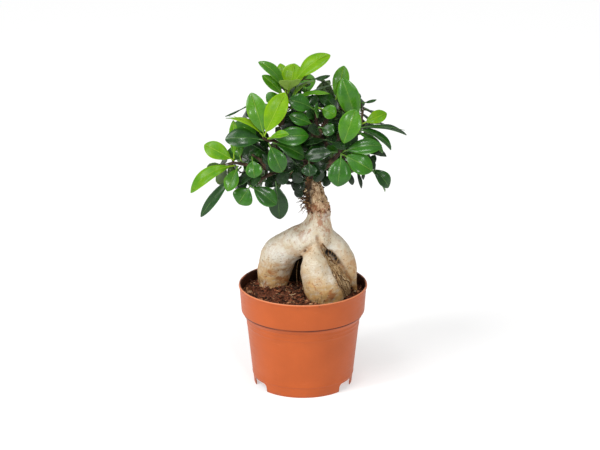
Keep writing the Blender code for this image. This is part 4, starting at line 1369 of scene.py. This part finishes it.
def within_edge(stage, place):
    """Whether a point stays within the crown's edge when it is seen from the front."""
    eye = Vector((-stage.aside, -stage.distance, stage.eye))
    x, _, z = (eye + (place - eye) * (-eye.y / (place.y - eye.y))) / MM
    odd = False
    for (ax, az), (bx, bz) in zip(CROWN_EDGE, CROWN_EDGE[1:] + CROWN_EDGE[:1]):
        if (az > z) != (bz > z) and x < ax + (z - az) * (bx - ax) / (bz - az):
            odd = not odd
    return odd


class Crown:
    """The leaves laid so far, as a few flat faces each, to keep new leaves clear of them."""

    faces = [(i * 3 + j, i * 3 + j + 1, i * 3 + j + 4, i * 3 + j + 3) for i in range(5) for j in range(2)]

    def __init__(self, leaves, stage):
        self.leaves, self.stage, self.laid = leaves, stage, []
        wood = merged_copy("scion_wood")
        self.wood = BVHTree.FromBMesh(wood)
        wood.free()
        points, faces = [], []
        for node in sorted(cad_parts):
            if node.startswith("leaf_"):
                patch = self.patch(packed_leaf(node, leaves))
                self.laid.append(patch)
                if not node.startswith(("leaf_back", "leaf_side")):
                    faces += [tuple(len(points) + i for i in face) for face in self.faces]
                    points += patch[3]
        self.front = BVHTree.FromPolygons(points, faces)

    def patch(self, form):
        points = []
        for share in (0.12, 0.3, 0.5, 0.7, 0.88, 0.99):
            along = max((share * form.length - form.stalk) / (form.length - form.stalk), 0)
            half = max(form.half(along), 0.0005)
            raised = form.upper(share) * half * math.tan(form.fold) * 0.8
            rib, side = form.spine(share), form.across * half
            points += [rib - side + raised, rib, rib + side + raised]
        reach = form.length * 0.55 + form.width / 4
        return BVHTree.FromPolygons(points, self.faces), form.spine(0.5), reach, points

    def covers_front(self, place):
        """Whether a leaf here would hide one of the leaves at the front."""
        away = (place - Vector((-self.stage.aside, -self.stage.distance, self.stage.eye))).normalized()
        return self.front.ray_cast(place + away * 0.0003, away)[0] is not None

    def clear(self, patch, strict=True):
        tree, middle, reach, points = patch
        if tree.overlap(self.wood):
            return False
        for other, centre, extent, _ in self.laid:
            if (middle - centre).length < reach + extent and tree.overlap(other):
                return False
        if strict:
            low, high = CAD_BOX[0] - AXIS, CAD_BOX[1] - AXIS
            if any(not (low[i] < p[i] < high[i]) for p in points for i in range(3)):
                return False
            if not all(within_edge(self.stage, p) for p in points):
                return False
            if any(self.covers_front(p) for p in points[4::3]):
                return False
        return True


class BONSAI_OT_foliage(bpy.types.Operator):
    """Fill the crown with single leaves and with short twigs that carry rosettes."""

    bl_idname = "bonsai.foliage"
    bl_label = "Inner leaves"

    def execute(self, context):
        leaves, stage = context.scene.bonsai_leaves, context.scene.bonsai_stage
        crown = Crown(leaves, stage)
        twigs = bmesh.new()
        twig_tone = twigs.faces.layers.float.new("twig_age")
        mature, young = bmesh.new(), bmesh.new()
        draw = random.Random(leaves.seed)

        def grow(form, age, lift, patch):
            crown.laid.append(patch)
            lay_leaf(young if age > 0.5 else mature, form, age, lift, draw, leaves, 7, 4, 3)

        def twig(end, thick):
            start, normal, _, gap = crown.wood.find_nearest(end)
            if gap < 0.0015:
                return
            jolt = Vector([draw.uniform(-0.08, 0.08) * gap for _ in range(3)])
            bend = start.lerp(end, 0.5) + jolt + normal * gap * 0.08
            path = smooth_path([start - normal * 0.0005, bend, end], 3)
            radii = [thick * (1 - 0.5 * i / len(path)) for i in range(len(path))]
            for face in add_tube(twigs, path, radii, 5):
                face[twig_tone] = 0.6

        for foot, tip, width, look, age, lift in SINGLE_LEAVES:
            look = math.radians(look)
            for push in PUSHES:
                start, end = mm(*foot) + mm(0, push, 0), mm(*tip) + mm(0, push, 0)
                along = end - start
                facing = Vector((0, -math.sin(look), math.cos(look)))
                form = new_leaf(start, along, facing, along.length, width * MM, 0.002, leaves)
                patch = crown.patch(form)
                if crown.clear(patch, False):
                    grow(form, age, lift, patch)
                    twig(start, 0.0008)
                    break
        for _ in range(leaves.twigs):
            centre = mm(draw.uniform(-98, 90), draw.uniform(-30, 66), draw.uniform(186, 308))
            x, y, z = (centre - CROWN_CORE) / MM
            depth = math.sqrt(sum((part / half) ** 2 for part, half in zip((x, y, z), CROWN_REACH)))
            near, _, _, gap = crown.wood.find_nearest(centre)
            if depth > 1 or not 0.005 < gap < 0.034:
                continue
            if not within_edge(stage, centre) or crown.covers_front(centre):
                continue
            out = (centre - near).normalized() + (centre - CROWN_CORE).normalized() * 0.8 + UP * 0.25
            out.normalize()
            side = out.orthogonal().normalized()
            spin, found = draw.random() * math.tau, []
            for turn in range(draw.randint(4, 6)):
                spread = draw.uniform(0.6, 1.35)
                way = Matrix.Rotation(spin + GOLDEN_ANGLE * turn, 3, out) @ side
                along = out * math.cos(spread) + way * math.sin(spread) - UP * draw.uniform(0, 0.35)
                along.normalize()
                size = draw.uniform(*INNER_LENGTHS)
                width = size * draw.uniform(*INNER_WIDTHS)
                form = new_leaf(centre - out * LEAF_GAP * turn, along, out + UP * 0.5, size, width,
                                draw.uniform(0.001, 0.004), leaves)
                patch = crown.patch(form)
                if crown.clear(patch) and not any(patch[0].overlap(other[1][0]) for other in found):
                    found.append((form, patch))
            if len(found) < 2:
                continue
            outer = min(max((depth - 0.4) / 0.5, 0.0), 1.0)
            high = min(max((z - 18) / 50, 0.0), 1.0)
            # the light share falls towards the crown's middle: painted shade on the inner leaves
            for form, patch in found:
                age = 0.1 + 0.25 * outer * draw.random() + 0.6 * high * draw.random()
                grow(form, min(age, 0.95), 0.08 + 0.42 * outer, patch)
            twig(centre + out * LEAF_GAP, 0.0009)
        piece("inner_twigs", twigs, twig_bark(context.scene.bonsai_wood))
        piece("inner_leaves", mature, leaf_skin(leaves))
        piece("inner_young_leaves", young, leaf_skin(leaves, True))
        return {"FINISHED"}


# --- the stage ---------------------------------------------------------------------------------------

# The soft lamps: where each one stands, the height that it looks at, its watts, and its two sides.
SOFTBOXES = (
    ("top_softbox", (0.1, -0.35, 1.5), 0.2, 4.5, 0.3, 0.16),
    ("front_softbox", (0.35, -1.6, 0.9), 0.22, 6.5, 0.2, 0.18),
    ("left_softbox", (-1.3, -0.9, 0.9), 0.2, 8, 0.2, 0.5),
)


class BONSAI_OT_stage(bpy.types.Operator):
    """Set out the pale floor, the soft lights and the camera."""

    bl_idname = "bonsai.stage"
    bl_label = "Stage"

    def execute(self, context):
        stage, scene = context.scene.bonsai_stage, context.scene
        ground = bmesh.new()
        bmesh.ops.create_circle(ground, cap_ends=True, radius=9.0, segments=64)
        for face in ground.faces:
            if face.normal.z < 0:
                face.normal_flip()
        mesh = bpy.data.meshes.new("floor")
        ground.to_mesh(mesh)
        ground.free()
        f = Finish("pale_floor", IOR=1.3, Specular_IOR_Level=0.0, Emission_Strength=0.5)
        f.shader.inputs["Emission Color"].default_value = (1, 1, 1, 1)
        mesh.materials.append(f.finish(tuple(stage.floor), 0.9))
        floor = bpy.data.objects.new("floor", mesh)
        scene.collection.objects.link(floor)

        world = bpy.data.worlds.new("room")
        world.use_nodes = True
        world.node_tree.nodes["Background"].inputs["Color"].default_value = (1, 1, 1, 1)
        world.node_tree.nodes["Background"].inputs["Strength"].default_value = stage.sky
        scene.world = world

        def lamp(name, kind, place, aim, energy, **settings):
            light = bpy.data.lights.new(name, kind)
            light.energy = energy
            for key, value in settings.items():
                setattr(light, key, value)
            holder = bpy.data.objects.new(name, light)
            holder.location = AXIS + Vector(place)
            holder.rotation_euler = (Vector(aim) - Vector(place)).to_track_quat("-Z", "Y").to_euler()
            scene.collection.objects.link(holder)

        lamp("key_sun", "SUN", (-1.5, -1.3, 2.3), (0, 0, 0.1), stage.key, angle=math.radians(30))
        for name, place, aim, energy, wide, high in SOFTBOXES:
            lamp(name, "AREA", place, (0, 0, aim), energy, shape="RECTANGLE", size=wide, size_y=high)

        camera = bpy.data.cameras.new("camera")
        camera.lens, camera.sensor_width = stage.lens, 36
        eye = bpy.data.objects.new("camera", camera)
        eye.location = AXIS + Vector((-stage.aside, -stage.distance, stage.eye))
        eye.rotation_euler = (math.radians(90) - stage.tilt, 0, 0)
        scene.collection.objects.link(eye)
        scene.camera = eye
        scene.view_settings.view_transform = "Standard"
        return {"FINISHED"}


# --- the sidebar and the run -------------------------------------------------------------------------

GROUPS = {
    "bonsai_pot": PotSizes,
    "bonsai_soil": SoilSizes,
    "bonsai_wood": WoodSizes,
    "bonsai_leaves": LeafSizes,
    "bonsai_stage": StageSizes,
}
STEPS = (BONSAI_OT_pot, BONSAI_OT_soil, BONSAI_OT_rootstock, BONSAI_OT_limbs, BONSAI_OT_leaves,
         BONSAI_OT_foliage, BONSAI_OT_stage)


class BONSAI_PT_sidebar(bpy.types.Panel):
    """Lists the sizes, the colours and the steps."""

    bl_idname = "BONSAI_PT_sidebar"
    bl_label = "Potted fig bonsai"
    bl_space_type = "VIEW_3D"
    bl_region_type = "UI"
    bl_category = "Bonsai"

    def draw(self, context):
        for name, group in GROUPS.items():
            box = self.layout.box()
            box.label(text=group.__doc__)
            for key in group.__annotations__:
                box.prop(getattr(context.scene, name), key)
        for step in STEPS:
            self.layout.operator(step.bl_idname)


CLASSES = (*GROUPS.values(), *STEPS, BONSAI_PT_sidebar)


def register():
    for cls in CLASSES:
        bpy.utils.register_class(cls)
    for name, group in GROUPS.items():
        setattr(bpy.types.Scene, name, PointerProperty(type=group))


def unregister():
    for name in GROUPS:
        delattr(bpy.types.Scene, name)
    for cls in reversed(CLASSES):
        bpy.utils.unregister_class(cls)


def main():
    register()
    bpy.ops.bonsai.pot()
    bpy.ops.bonsai.soil()
    bpy.ops.bonsai.rootstock()
    bpy.ops.bonsai.limbs()
    bpy.ops.bonsai.leaves()
    bpy.ops.bonsai.foliage()
    bpy.ops.bonsai.stage()


if __name__ == "__main__":
    main()
